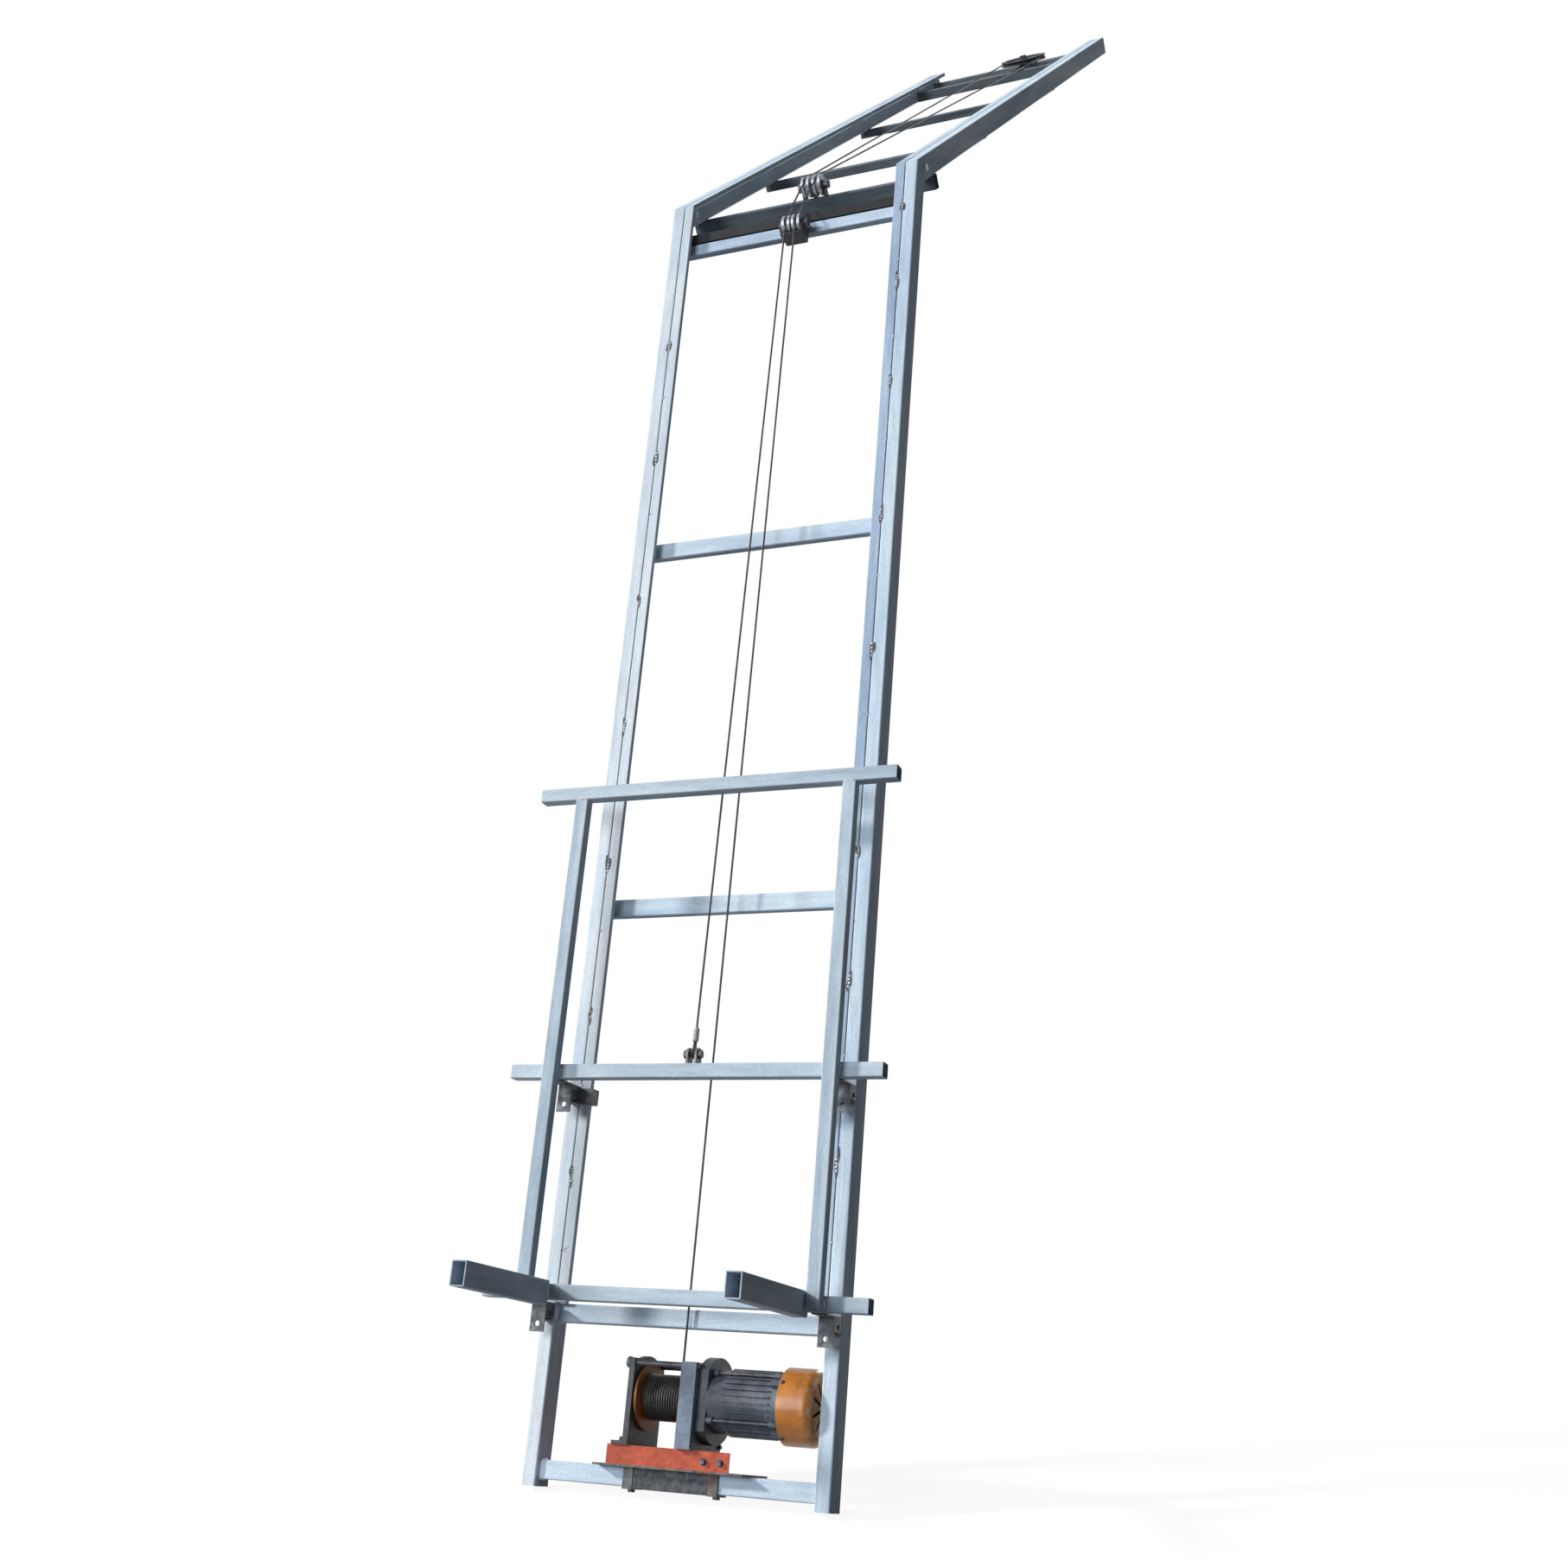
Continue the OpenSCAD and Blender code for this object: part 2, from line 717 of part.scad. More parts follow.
module stub_rail(side) {
  difference() {
    bent_tube(side * rail_x, rail_w, rail_d, rail_wall, rail_r, 0);
    on_roof() translate([side * rail_x, rail_d / 2, knee_bolt_u]) rail_hole(knee_bolt_d / 2 + bolt_fit);
  }
}

// Hole across a rail tube.
module rail_hole(r) {
  bar_x(-rail_w / 2 - over, rail_w / 2 + over, r);
}

module guide_strips() {
  color("lightsteelblue") for (side = sides)
    bent_tube(side * strip_x, strip_w, strip_d, strip_wall, strip_d * strip_r_share, strip_start);
}

module base_tube(s) {
  on_track() translate([0, rail_d / 2, s])
    cross_tube(inner_w, base_bar, base_bar, rail_wall, base_bar * tube_r_share);
}

module base_bar_low() {
  color("lightsteelblue") base_tube(base_bar_s);
}

module base_bar_top() {
  color("lightsteelblue") base_tube(base_top_s);
}

// Flat crossbar set back between the rails.
module set_back_bar(s, h) {
  on_track() translate([0, bar_set + bar_d / 2, s]) cross_tube(inner_w, h, bar_d, bar_wall, h * tube_r_share);
}

module crossbars() {
  color("lightsteelblue") {
    set_back_bar(low_bar_s, bar_h);
    set_back_bar(mid_bar_s, bar_h);
  }
}

module top_crossbar() {
  color("lightsteelblue") set_back_bar(top_bar_s, top_bar_h);
}

module tie_bar() {
  color("dimgray") on_track() translate([0, bar_set + tie_h / 2, tie_s])
    cross_tube(inner_w, tie_h, tie_h, bar_wall, tie_h * tube_r_share);
}

// Roof section

module knee_sleeves() {
  w = rail_w - 2 * (rail_wall + sleeve_fit);
  d = rail_d - 2 * (rail_wall + sleeve_fit);
  color("silver") on_roof() for (side = sides) translate([side * rail_x, rail_d / 2, 0]) difference() {
    translate([0, 0, sleeve_u]) tube(w, d, sleeve_l, sleeve_wall, sleeve_wall * sleeve_r_share);
    translate([0, 0, knee_bolt_u]) rail_hole(knee_bolt_d / 2 + bolt_fit);
  }
}

module knee_bolts() {
  color("silver") on_roof() for (turn = [0, 1]) mirror([turn, 0, 0])
    translate([0, rail_d / 2, knee_bolt_u]) bolt_x(-track_w / 2, -inner_w / 2, knee_bolt_d / 2);
}

module roof_rail(side) {
  on_roof() translate([side * rail_x, rail_d / 2, 0]) difference() {
    translate([0, 0, stub_l]) tube(rail_w, rail_d, roof_l - stub_l, rail_wall, rail_r);
    translate([0, 0, roof_l - end_hole_in]) rail_hole(end_hole_d / 2);
  }
}

module left_roof_rail() {
  color("lightsteelblue") roof_rail(-1);
}

module right_roof_rail() {
  color("lightsteelblue") roof_rail(1);
}

module roof_strips() {
  color("lightsteelblue") on_roof() for (side = sides) translate([side * strip_x, strip_d / 2, stub_l])
    tube(strip_w, strip_d, roof_l - stub_l, strip_wall, strip_d * strip_r_share);
}

// Crossbar under the roof rails.
module under_bar(u, d) {
  on_roof() translate([0, rail_d + d / 2, u])
    cross_tube(track_w, roof_bar_w, d, bar_wall, roof_bar_w * tube_r_share);
}

module knee_crossbar() {
  color("slategray") under_bar(knee_bar_u, roof_bar_d);
}

// Crossbar that rests on the roof, with its right end cut away below.
module rest_bar(u) {
  end_x = track_w / 2;
  low_y = rail_d + rest_bar_d;
  difference() {
    under_bar(u, rest_bar_d);
    on_roof() translate([0, 0, u - roof_bar_w / 2 - over]) linear_extrude(roof_bar_w + 2 * over)
      polygon([[end_x - rest_bevel, low_y + over], [end_x, rail_d], [end_x + over, low_y + over]]);
  }
}

module roof_bar_low() {
  color("slategray") rest_bar(roof_low_u);
}

module roof_bar_mid() {
  color("slategray") rest_bar(roof_mid_u);
}

// Square bar between the roof rails, flush with their backs.
module far_bar(u) {
  on_roof() translate([0, rail_d - end_bar / 2, u])
    cross_tube(inner_w, end_bar, end_bar, bar_wall, end_bar * tube_r_share);
}

module roof_bar_inner() {
  color("slategray") far_bar(inner_bar_u);
}

module roof_bar_outer() {
  color("slategray") far_bar(outer_bar_u);
}

// Sheave blocks

// U-shaped yoke welded to the front of the top crossbar.
module lower_yoke() {
  cheek_r = pin_d * cheek_share;
  front_y = lower_y - cheek_r;
  plate_s = lower_s - sheave_r - sheave_gap;
  color("silver") on_track() {
    for (x = [lower_x - lower_half - cheek_t, lower_x + lower_half]) plate_x(x, x + cheek_t) difference() {
      union() {
        translate([lower_y, lower_s]) circle(cheek_r);
        translate([lower_y, lower_s]) square([bar_set - lower_y, cheek_r]);
        translate([front_y, plate_s - cheek_t]) square([bar_set - front_y, lower_s - plate_s + cheek_t]);
      }
      translate([lower_y, lower_s]) circle(pin_r + bolt_fit);
    }
    block(lower_x - lower_half, lower_x + lower_half, front_y, bar_set, plate_s - cheek_t, plate_s);
  }
}

module lower_pin() {
  spacer = lower_pitch / 2 - sheave_w / 2 - cheek_gap;
  color("gray") on_track() translate([lower_x, lower_y, lower_s]) {
    bolt_x(-lower_half - cheek_t, lower_half + cheek_t, pin_r);
    bar_x(-spacer, spacer, pin_d * spacer_share);
  }
}

// Three tapered cheeks welded to the top of the knee crossbar.
module upper_yoke() {
  top_r = pin_d * yoke_top_share;
  color("silver") on_roof()
    for (x = [-upper_half - cheek_t, -cheek_t / 2, upper_half])
      plate_x(upper_x + x, upper_x + x + cheek_t) difference() {
        union() {
          translate([upper_y, knee_bar_u]) circle(top_r);
          polygon([
            [upper_y, knee_bar_u - top_r],
            [upper_y, knee_bar_u + top_r],
            [rail_d, knee_bar_u + roof_bar_w / 2 - roof_bar_w * tube_r_share],
            [rail_d, knee_bar_u - roof_bar_w / 2 + roof_bar_w * tube_r_share]
          ]);
        }
        translate([upper_y, knee_bar_u]) circle(pin_r + bolt_fit);
      }
}

module upper_pin() {
  color("gray") on_roof() translate([upper_x, upper_y, knee_bar_u])
    bolt_x(-upper_half - cheek_t, upper_half + cheek_t, pin_r);
}

module lower_sheave_in() {
  color("gainsboro") on_track() translate([in_x, lower_y, lower_s]) block_sheave();
}

module lower_sheave_out() {
  color("gainsboro") on_track() translate([out_x, lower_y, lower_s]) block_sheave();
}

module upper_sheave_in() {
  color("gainsboro") on_roof() translate([in_up_x, upper_y, knee_bar_u]) block_sheave();
}

module upper_sheave_out() {
  color("gainsboro") on_roof() translate([out_up_x, upper_y, knee_bar_u]) block_sheave();
}

// Strap over the two far bars.
module return_bracket() {
  color("silver") on_roof() difference() {
    block(
      return_x - strap_w / 2, return_x + strap_w / 2, end_top_y - strap_t, end_top_y,
      inner_bar_u - end_bar / 2, outer_bar_u + end_bar / 2
    );
    translate([return_x, end_top_y - strap_t - over, return_u]) rotate([-90, 0, 0])
      cylinder(r = pin_r + bolt_fit, h = strap_t + 2 * over);
  }
}

module return_pin() {
  color("gray") on_roof() translate([return_x, 0, return_u]) rotate([0, 0, 90])
    bolt_x(return_top_y - cheek_gap, end_top_y, pin_r);
}

module return_sheave() {
  bore_r = pin_r + run_fit;
  hub_r = pin_d * hub_share;
  rim_r = return_r + rope_d;
  rim_in_r = return_r - 2 * rope_d;
  color("gainsboro") on_roof() translate([return_x, roof_rope_y, return_u]) rotate([-90, 0, 0])
    rotate_extrude() difference() {
      union() {
        translate([bore_r, -return_w / 2])
          square([hub_r - bore_r, return_w / 2 + return_hub_y - roof_rope_y]);
        translate([bore_r, -return_w * web_share / 2]) square([rim_in_r - bore_r, return_w * web_share]);
        translate([rim_in_r, -return_w / 2]) square([rim_r - rim_in_r, return_w]);
      }
      groove(return_r, rim_r);
    }
}

// Rope

module running_rope() {
  color("dimgray") on_track() swept(run_path, rope_r, rope_sides, [1, 0, 0]);
}

module carriage_rope() {
  color("dimgray") on_track() swept([rope_start, rope_join], rope_r, rope_sides, [1, 0, 0]);
}

module rope_winding() {
  color("dimgray") on_track() translate([0, winch_set, winch_s])
    swept(wind_path, rope_r, wind_sides, [1, 0, 0]);
}

// Winch base

// Folded channel, open below and at the right.
module winch_foot() {
  y0 = winch_set - foot_d / 2;
  y1 = winch_set + foot_d / 2;
  color("orangered") on_track() difference() {
    block(foot_x0, foot_x1, y0, y1, foot_s, floor_s);
    block(foot_x0 + foot_t, foot_x1 + over, y0 + foot_t, y1 - foot_t, foot_s - over, floor_s - foot_t);
    translate([0, 0, foot_s - over]) linear_extrude(foot_h + 2 * over) polygon([
      [foot_x1, y0 + foot_t], [foot_x1 + over, y0 + foot_t], [foot_x1 + over, y1 + over],
      [foot_x1 - foot_cut, y1 + over]
    ]);
  }
}

// Plate on the base bar, and two straps with a bolt that hold it there.
module winch_seat() {
  low_s = base_bar_s - base_bar / 2;
  back_y = rail_d - base_set;
  color("silver") on_track() {
    block(
      foot_x0 - shim_over, foot_x1 + shim_over, winch_set - foot_d / 2, winch_set + foot_d / 2, shim_s, foot_s
    );
    for (x = [foot_x0 + clamp_in, foot_x1 - clamp_in]) {
      plate_x(x - clamp_w / 2, x + clamp_w / 2) {
        translate([base_set - clamp_t, low_s - clamp_t]) square([clamp_t, shim_s - low_s + clamp_t]);
        translate([back_y, low_s - clamp_t]) square([clamp_t, shim_s - low_s + clamp_t]);
        translate([base_set, low_s - clamp_t]) square([base_bar, clamp_t]);
      }
      translate([x, rail_d / 2, low_s - clamp_t]) rotate([0, 90, 0])
        hex_x(0, clamp_bolt_d * bolt_head_share, clamp_bolt_d / 2);
    }
  }
}

module end_plate() {
  color("dimgray") {
    on_winch() translate([0, 0, end_out_x]) difference() {
      linear_extrude(end_t) {
        intersection() {
          circle(end_r);
          translate([-end_r, -end_half]) square([end_r, 2 * end_half]);
        }
        translate([-tie_rod_up - rod_rim, -end_half]) square([tie_rod_up + rod_rim + winch_up, 2 * end_half]);
      }
      translate([0, 0, -over]) {
        cylinder(r = shaft_d / 2 + run_fit, h = end_t + 2 * over);
        for (y = sides) translate([-tie_rod_up, y * tie_rod_y, 0])
          cylinder(r = tie_rod_r + bolt_fit, h = end_t + 2 * over);
      }
    }
    on_track() block(
      end_out_x - end_foot, end_out_x, winch_set - end_half, winch_set + end_half,
      floor_s, floor_s + end_foot_t
    );
  }
}

module tie_rods() {
  color("gray") on_track() for (y = sides) translate([0, winch_set + y * tie_rod_y, winch_s + tie_rod_up]) {
    bar_x(end_out_x - 2 * tie_rod_r * nut_share, case_x, tie_rod_r);
    hex_x(end_out_x - 2 * tie_rod_r * bolt_head_share, end_out_x, tie_rod_r);
  }
}

// Drum and gears

module drum() {
  color("chocolate") on_winch() {
    translate([0, 0, drum_x]) cylinder(r = core_r, h = drum_l);
    translate([0, 0, drum_x - flange_t]) cylinder(r = flange_r, h = flange_t);
    translate([0, 0, drum_end_x]) cylinder(r = case_flange_r, h = flange_t);
    translate([0, 0, end_out_x - flange_gap])
      cylinder(r = shaft_d / 2, h = low_gear_x + gear_w + gear_side / 2 - end_out_x + flange_gap);
  }
}

module drum_gear() {
  color("gray") on_winch() translate([0, 0, low_gear_x]) difference() {
    cylinder(r = drum_gear_r, h = gear_w);
    translate([0, 0, -over]) cylinder(r = shaft_d / 2 + run_fit, h = gear_w + 2 * over);
  }
}

module countershaft() {
  color("gray") on_winch() translate([0, gear_a, 0]) {
    translate([0, 0, counter_x0]) cylinder(d = counter_d, h = counter_x1 - counter_x0);
    translate([0, 0, low_gear_x]) cylinder(r = counter_pinion_r, h = gear_w);
    translate([0, 0, top_gear_x]) cylinder(r = counter_gear_r, h = gear_w);
  }
}

// Space round the drum axis and the countershaft.
module gear_room(x0, x1) {
  for (y = [0, gear_a]) translate([0, y, x0]) cylinder(r = gear_room_r, h = x1 - x0);
}

// Blind seats for the two ends of the countershaft.
module counter_seats() {
  translate([0, gear_a, counter_x0 - gear_gap])
    cylinder(r = counter_d / 2 + run_fit, h = counter_x1 - counter_x0 + 2 * gear_gap);
}

module gear_case() {
  color("lightslategray") difference() {
    on_track()
      block(case_x, cover_x, winch_set - case_d / 2, winch_set + case_d / 2, floor_s, floor_s + case_h);
    on_winch() {
      gear_room(case_x + case_wall, cover_x + over);
      counter_seats();
      translate([0, 0, case_x - over]) cylinder(r = shaft_d / 2 + run_fit, h = case_wall + 2 * over);
    }
  }
}

module gear_cover() {
  color("darkslategray") on_winch() difference() {
    translate([0, 0, cover_x]) cylinder(r = cover_r, h = cover_t);
    translate([-cover_r, -cover_r - over, cover_x - over])
      cube([2 * cover_r, cover_r - cover_flat + over, cover_t + 2 * over]);
    gear_room(cover_x - over, motor_x - case_wall);
    counter_seats();
    translate([0, 0, motor_x - case_wall - over])
      cylinder(r = motor_shaft_d / 2 + run_fit, h = case_wall + 2 * over);
  }
}

// Motor

module motor_shell() {
  color("slategray") on_winch() difference() {
    union() {
      translate([0, 0, motor_x]) cylinder(r = motor_r, h = motor_l);
      for (i = [0:fin_n - 1]) rotate([0, 0, 360 * i / fin_n])
        translate([motor_r - motor_wall / 2, -fin_t / 2, motor_end_x - fin_in - fin_l])
          cube([motor_wall / 2 + fin_h, fin_t, fin_l]);
      for (a = long_bolt_turns, x = [motor_x + boss_in, motor_end_x - boss_l])
        rotate([0, 0, a]) translate([long_bolt_pcd_r, 0, x]) cylinder(r = boss_r, h = boss_l);
      intersection() {
        translate([0, 0, motor_end_x - boss_l]) cylinder(r = lug_out_r, h = lug_l);
        for (a = lug_turns) rotate([0, 0, a])
          translate([motor_r - motor_wall / 2, -lug_w / 2, motor_end_x - boss_l - over])
            cube([fan_cover_r - motor_r + motor_wall / 2, lug_w, lug_l + 2 * over]);
      }
    }
    translate([0, 0, motor_x - over]) cylinder(r = motor_r - motor_wall, h = motor_l - motor_end_t + over);
    translate([0, 0, motor_end_x - motor_end_t - over])
      cylinder(r = motor_shaft_d / 2 + run_fit, h = motor_end_t + 2 * over);
    for (a = long_bolt_turns) rotate([0, 0, a]) translate([long_bolt_pcd_r, 0, 0]) {
      translate([0, 0, motor_x - over]) cylinder(r = long_bolt_r + bolt_fit, h = motor_l + 2 * over);
      translate([0, 0, motor_x + boss_l]) cylinder(r = long_bolt_r + bolt_room, h = motor_l - 2 * boss_l);
    }
  }
}

module motor_bolts() {
  color("gray") on_winch() for (a = long_bolt_turns) rotate([0, 0, a]) translate([long_bolt_pcd_r, 0, 0]) {
    translate([0, 0, motor_x]) cylinder(r = long_bolt_r, h = motor_l);
    translate([0, 0, motor_end_x]) cylinder(r = long_bolt_r * hex_share, h = fan_air / 2, $fn = 6);
  }
}

module stator() {
  color("peru") on_winch() translate([0, 0, stator_x]) difference() {
    cylinder(r = motor_r - motor_wall - run_fit, h = stator_l);
    translate([0, 0, -over]) cylinder(r = stator_r, h = stator_l + 2 * over);
  }
}

// Shaft with the motor pinion at its nose and the rotor core inside the stator.
module rotor() {
  color("gray") on_winch() {
    translate([0, 0, top_gear_x]) cylinder(r = motor_pinion_r, h = nose_end_x - top_gear_x);
    translate([0, 0, nose_end_x]) cylinder(d = motor_shaft_d, h = fan_x + fan_w - nose_end_x);
    translate([0, 0, stator_x]) cylinder(r = stator_r - rotor_air, h = stator_l);
  }
}

module fan() {
  color("dimgray") on_winch() translate([0, 0, fan_x]) difference() {
    union() {
      cylinder(r = fan_hub_r, h = fan_w);
      cylinder(r = fan_r, h = blade_t);
      for (i = [0:blade_n - 1]) rotate([0, 0, 360 * i / blade_n])
        translate([fan_hub_r - blade_t, -blade_t / 2, blade_t / 2])
          cube([fan_r - fan_hub_r, blade_t, fan_w - blade_t]);
    }
    translate([0, 0, -over]) cylinder(r = motor_shaft_d / 2 + run_fit, h = fan_w + 2 * over);
  }
}

// Half outline of the fan cover, inset by a thickness, from its open rim.
module cover_outline(inset, rim) {
  flat_r = fan_cover_r - fan_edge_r;
  straight = fan_cover_l - fan_edge_r;
  translate([0, -rim]) square([fan_cover_r - inset, straight + rim]);
  translate([0, -rim]) square([flat_r, fan_cover_l - inset + rim]);
  intersection() {
    translate([flat_r, straight]) circle(fan_edge_r - inset);
    translate([flat_r, straight]) square(fan_edge_r);
  }
}

module fan_cover() {
  flat_r = fan_cover_r - fan_edge_r;
  color("darkorange") on_winch() translate([0, 0, fan_cover_x]) difference() {
    rotate_extrude() difference() {
      cover_outline(0, 0);
      cover_outline(fan_cover_t, over);
    }
    for (i = [0:vent_n - 1]) rotate([0, 0, 360 * i / vent_n])
      translate([fan_cover_r * vent_in_share, -vent_w / 2, fan_cover_l - fan_cover_t - over])
        cube([flat_r - fan_cover_r * vent_in_share, vent_w, fan_cover_t + 2 * over]);
  }
}

// Carriage frame

// Crossbar of the carriage.
module carriage_bar(y, s) {
  on_track() translate([0, y, s]) cross_tube(carriage_w, frame_tube, frame_tube, frame_wall, frame_r);
}

module head_bar() {
  color("gainsboro") carriage_bar(head_y, head_bar_s);
}

module middle_bar() {
  color("gainsboro") carriage_bar(bars_y, middle_bar_s);
}

module lower_bar() {
  color("gainsboro") carriage_bar(bars_y, lower_bar_s);
}

module uprights() {
  color("gainsboro") on_track() for (side = sides)
    translate([side * upright_x, bars_front - upright_d / 2, lower_bar_s - frame_tube / 2])
      tube(frame_tube, upright_d, head_bar_s - lower_bar_s, frame_wall, frame_r);
}

module forks() {
  color("gainsboro") on_track() for (side = sides)
    translate([side * fork_x, bars_front, lower_bar_s - fork_drop]) rotate([90, 0, 0])
      tube(fork_w, fork_h, fork_l, fork_wall, fork_w * tube_r_share);
}

// Rope clevis

module clevis() {
  base_s = middle_bar_s + frame_tube / 2;
  color("silver") on_track() for (x = [-ear_out, ear_gap / 2]) plate_x(x, x + ear_t) difference() {
    union() {
      translate(eye_c) circle(ear_r);
      translate([bars_y - ear_r, base_s]) square([2 * ear_r, ear_h]);
    }
    translate(eye_c) circle(clevis_bolt_d / 2 + bolt_fit);
  }
}

module clevis_bolt() {
  color("gray") on_track() translate(eye_at) mirror([1, 0, 0]) bolt_x(-ear_out, ear_out, clevis_bolt_d / 2);
}

// Loop of rope round the clevis bolt, closed by a pressed ferrule.
module rope_eye() {
  color("silver") on_track() translate(eye_at) {
    rotate([0, 90, 0]) rotate_extrude() translate([eye_loop_r, 0]) circle(rope_r);
    along(eye_dir) {
      translate([0, 0, eye_loop_r]) cylinder(r = rope_d * neck_share, h = rope_d);
      translate([0, 0, ferrule_from]) cylinder(d = ferrule_d, h = ferrule_l);
    }
  }
}

// Rollers and their brackets

function under(s) = s - frame_tube / 2;
function roller_s(s) = under(s) - bracket_t - roller_room - roller_r;

// Folded bracket under a carriage bar: top plate, front plate with a hole, and two cheeks for the axle.
module bracket(s) {
  top_s = under(s) - bracket_t;
  web_y = roller_y - roller_r - bracket_room;
  difference() {
    union() {
      block(-bracket_w / 2, bracket_w / 2, bars_y, -bracket_t, top_s, under(s));
      block(-bracket_w / 2, bracket_w / 2, web_y - bracket_t, web_y, under(s) - bracket_drop, top_s);
      for (x = [-bracket_w / 2, bracket_w / 2 - bracket_t])
        block(x, x + bracket_t, web_y, -bracket_t, roller_s(s) - axle_d, top_s);
    }
    translate([0, roller_y, roller_s(s)]) bar_x(-bracket_w, bracket_w, axle_d / 2 + bolt_fit);
    translate([0, web_y + over, under(s) - bracket_drop + bracket_hole_in]) rotate([90, 0, 0])
      cylinder(d = bracket_hole_d, h = bracket_t + 2 * over);
  }
}

// Hook that holds the carriage to the guide strip, on the right side.
module keeper(s) {
  edge = inner_w / 2 - strip_w;
  x0 = edge - keeper_gap - keeper_t;
  front_y = -keeper_gap - keeper_t;
  back_y = strip_d + keeper_gap;
  cheek_x = upright_x - bracket_w / 2 + bracket_t;
  z0 = roller_s(s) - keeper_h / 2;
  z1 = z0 + keeper_h;
  block(x0, cheek_x, front_y, -keeper_gap, z0, z1);
  block(x0, x0 + keeper_t, -keeper_gap, back_y, z0, z1);
  block(x0, edge + keeper_grip, back_y, back_y + keeper_t, z0, z1);
}

module lower_brackets() {
  color("dimgray") on_track() for (side = sides) translate([side * upright_x, 0, 0]) bracket(lower_bar_s);
}

module upper_brackets() {
  color("dimgray") on_track() for (turn = [0, 1]) mirror([turn, 0, 0]) {
    translate([upright_x, 0, 0]) bracket(middle_bar_s);
    keeper(middle_bar_s);
  }
}

module roller_axles() {
  color("gray") on_track() for (side = sides, s = [lower_bar_s, middle_bar_s])
    translate([side * upright_x, roller_y, roller_s(s)])
      bar_x(-bracket_w / 2 - bracket_t, bracket_w / 2 + bracket_t, axle_d / 2);
}

// Pair of rollers on the rails.
module roller_pair(s) {
  on_track() for (side = sides) translate([side * upright_x, roller_y, roller_s(s)]) difference() {
    bar_x(-roller_w / 2, roller_w / 2, roller_r);
    bar_x(-roller_w, roller_w, axle_d / 2 + run_fit);
  }
}

module lower_rollers() {
  color("black") roller_pair(lower_bar_s);
}

module upper_rollers() {
  color("black") roller_pair(middle_bar_s);
}

left_rail();
right_rail();
guide_strips();
base_bar_low();
base_bar_top();
crossbars();
top_crossbar();
tie_bar();
knee_sleeves();
knee_bolts();
left_roof_rail();
right_roof_rail();
roof_strips();
knee_crossbar();
roof_bar_low();
roof_bar_mid();
roof_bar_inner();
roof_bar_outer();
lower_yoke();
lower_pin();
upper_yoke();
upper_pin();
return_bracket();
return_pin();
running_rope();
winch_foot();
winch_seat();
end_plate();
tie_rods();
gear_case();
gear_cover();
motor_shell();
motor_bolts();
stator();
fan_cover();
lower_sheave_in();
lower_sheave_out();
upper_sheave_in();
upper_sheave_out();
return_sheave();
drum();
rope_winding();
drum_gear();
countershaft();
rotor();
fan();
head_bar();
middle_bar();
lower_bar();
uprights();
forks();
clevis();
clevis_bolt();
rope_eye();
lower_brackets();
upper_brackets();
roller_axles();
lower_rollers();
upper_rollers();
carriage_rope();
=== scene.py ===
"""Looks of an inclined material hoist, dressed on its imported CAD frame.

Lengths are in metres in the row frame. Track places are (x, y, s): x to the right, y away from the
fronts of the rails, s up the track. Roof places are (x, y, u): y under the roof's front, u along the roof.
"""
import math
import random

import bmesh
import bpy
from mathutils import Matrix, Vector


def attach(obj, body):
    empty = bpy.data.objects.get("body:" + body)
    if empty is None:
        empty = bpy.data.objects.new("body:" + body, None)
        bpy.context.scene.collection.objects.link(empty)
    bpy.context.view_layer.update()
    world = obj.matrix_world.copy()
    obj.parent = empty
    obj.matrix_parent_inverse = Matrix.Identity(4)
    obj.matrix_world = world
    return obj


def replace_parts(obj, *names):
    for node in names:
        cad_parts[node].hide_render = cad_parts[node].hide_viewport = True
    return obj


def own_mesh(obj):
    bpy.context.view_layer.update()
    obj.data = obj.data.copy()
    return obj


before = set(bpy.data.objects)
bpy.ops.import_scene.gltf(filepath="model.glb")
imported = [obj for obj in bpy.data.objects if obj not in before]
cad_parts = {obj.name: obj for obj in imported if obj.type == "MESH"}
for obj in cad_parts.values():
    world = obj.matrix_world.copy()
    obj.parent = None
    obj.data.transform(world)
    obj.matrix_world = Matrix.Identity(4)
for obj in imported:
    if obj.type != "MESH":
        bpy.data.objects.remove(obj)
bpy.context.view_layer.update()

# Stance
LEAN = math.radians(15.0)
BEND = math.radians(42.5)
RAIL_D = 0.070
TRACK_L = 3.817

# Rope route
ROPE_R = 0.003
ROPE_LAY = 0.042
RINGS_PER_LAY = 8
STRANDS = 6
STRAND_FORM = (0.80, 0.95, 1.0, 0.95)
SHEAVE_R = 0.028
LOWER_Y = -0.006
LOWER_S = 3.655
UPPER_Y = 0.033
UPPER_U = 0.150
IN_X = 0.036
OUT_X = 0.004
IN_UP_X = 0.032
OUT_UP_X = -0.006
RETURN_X = 0.092
RETURN_U = 3.030
RETURN_R = 0.092
SHEAVE_STEPS = 10
RETURN_STEPS = 48
ROOF_ROPE_Y = UPPER_Y - SHEAVE_R
DRUM_Y = 0.057
DRUM_S = 0.228
WIND_R = 0.0525
WIND_X0 = -0.1015
WIND_L = 0.103
WIND_TURNS = 15
LAST_PITCH = 0.0088
WIND_PITCH = (WIND_L - LAST_PITCH) / (WIND_TURNS - 1)
WIND_LEAD = 0.006
START_GAP = 0.0005
EYE_Y = -0.0995
EYE_S = 1.0525
EYE_LOOP_R = 0.0095
FERRULE_FROM = 0.0155
FERRULE_L = 0.055
FERRULE_R = 0.008
FERRULE_SIDES = 28
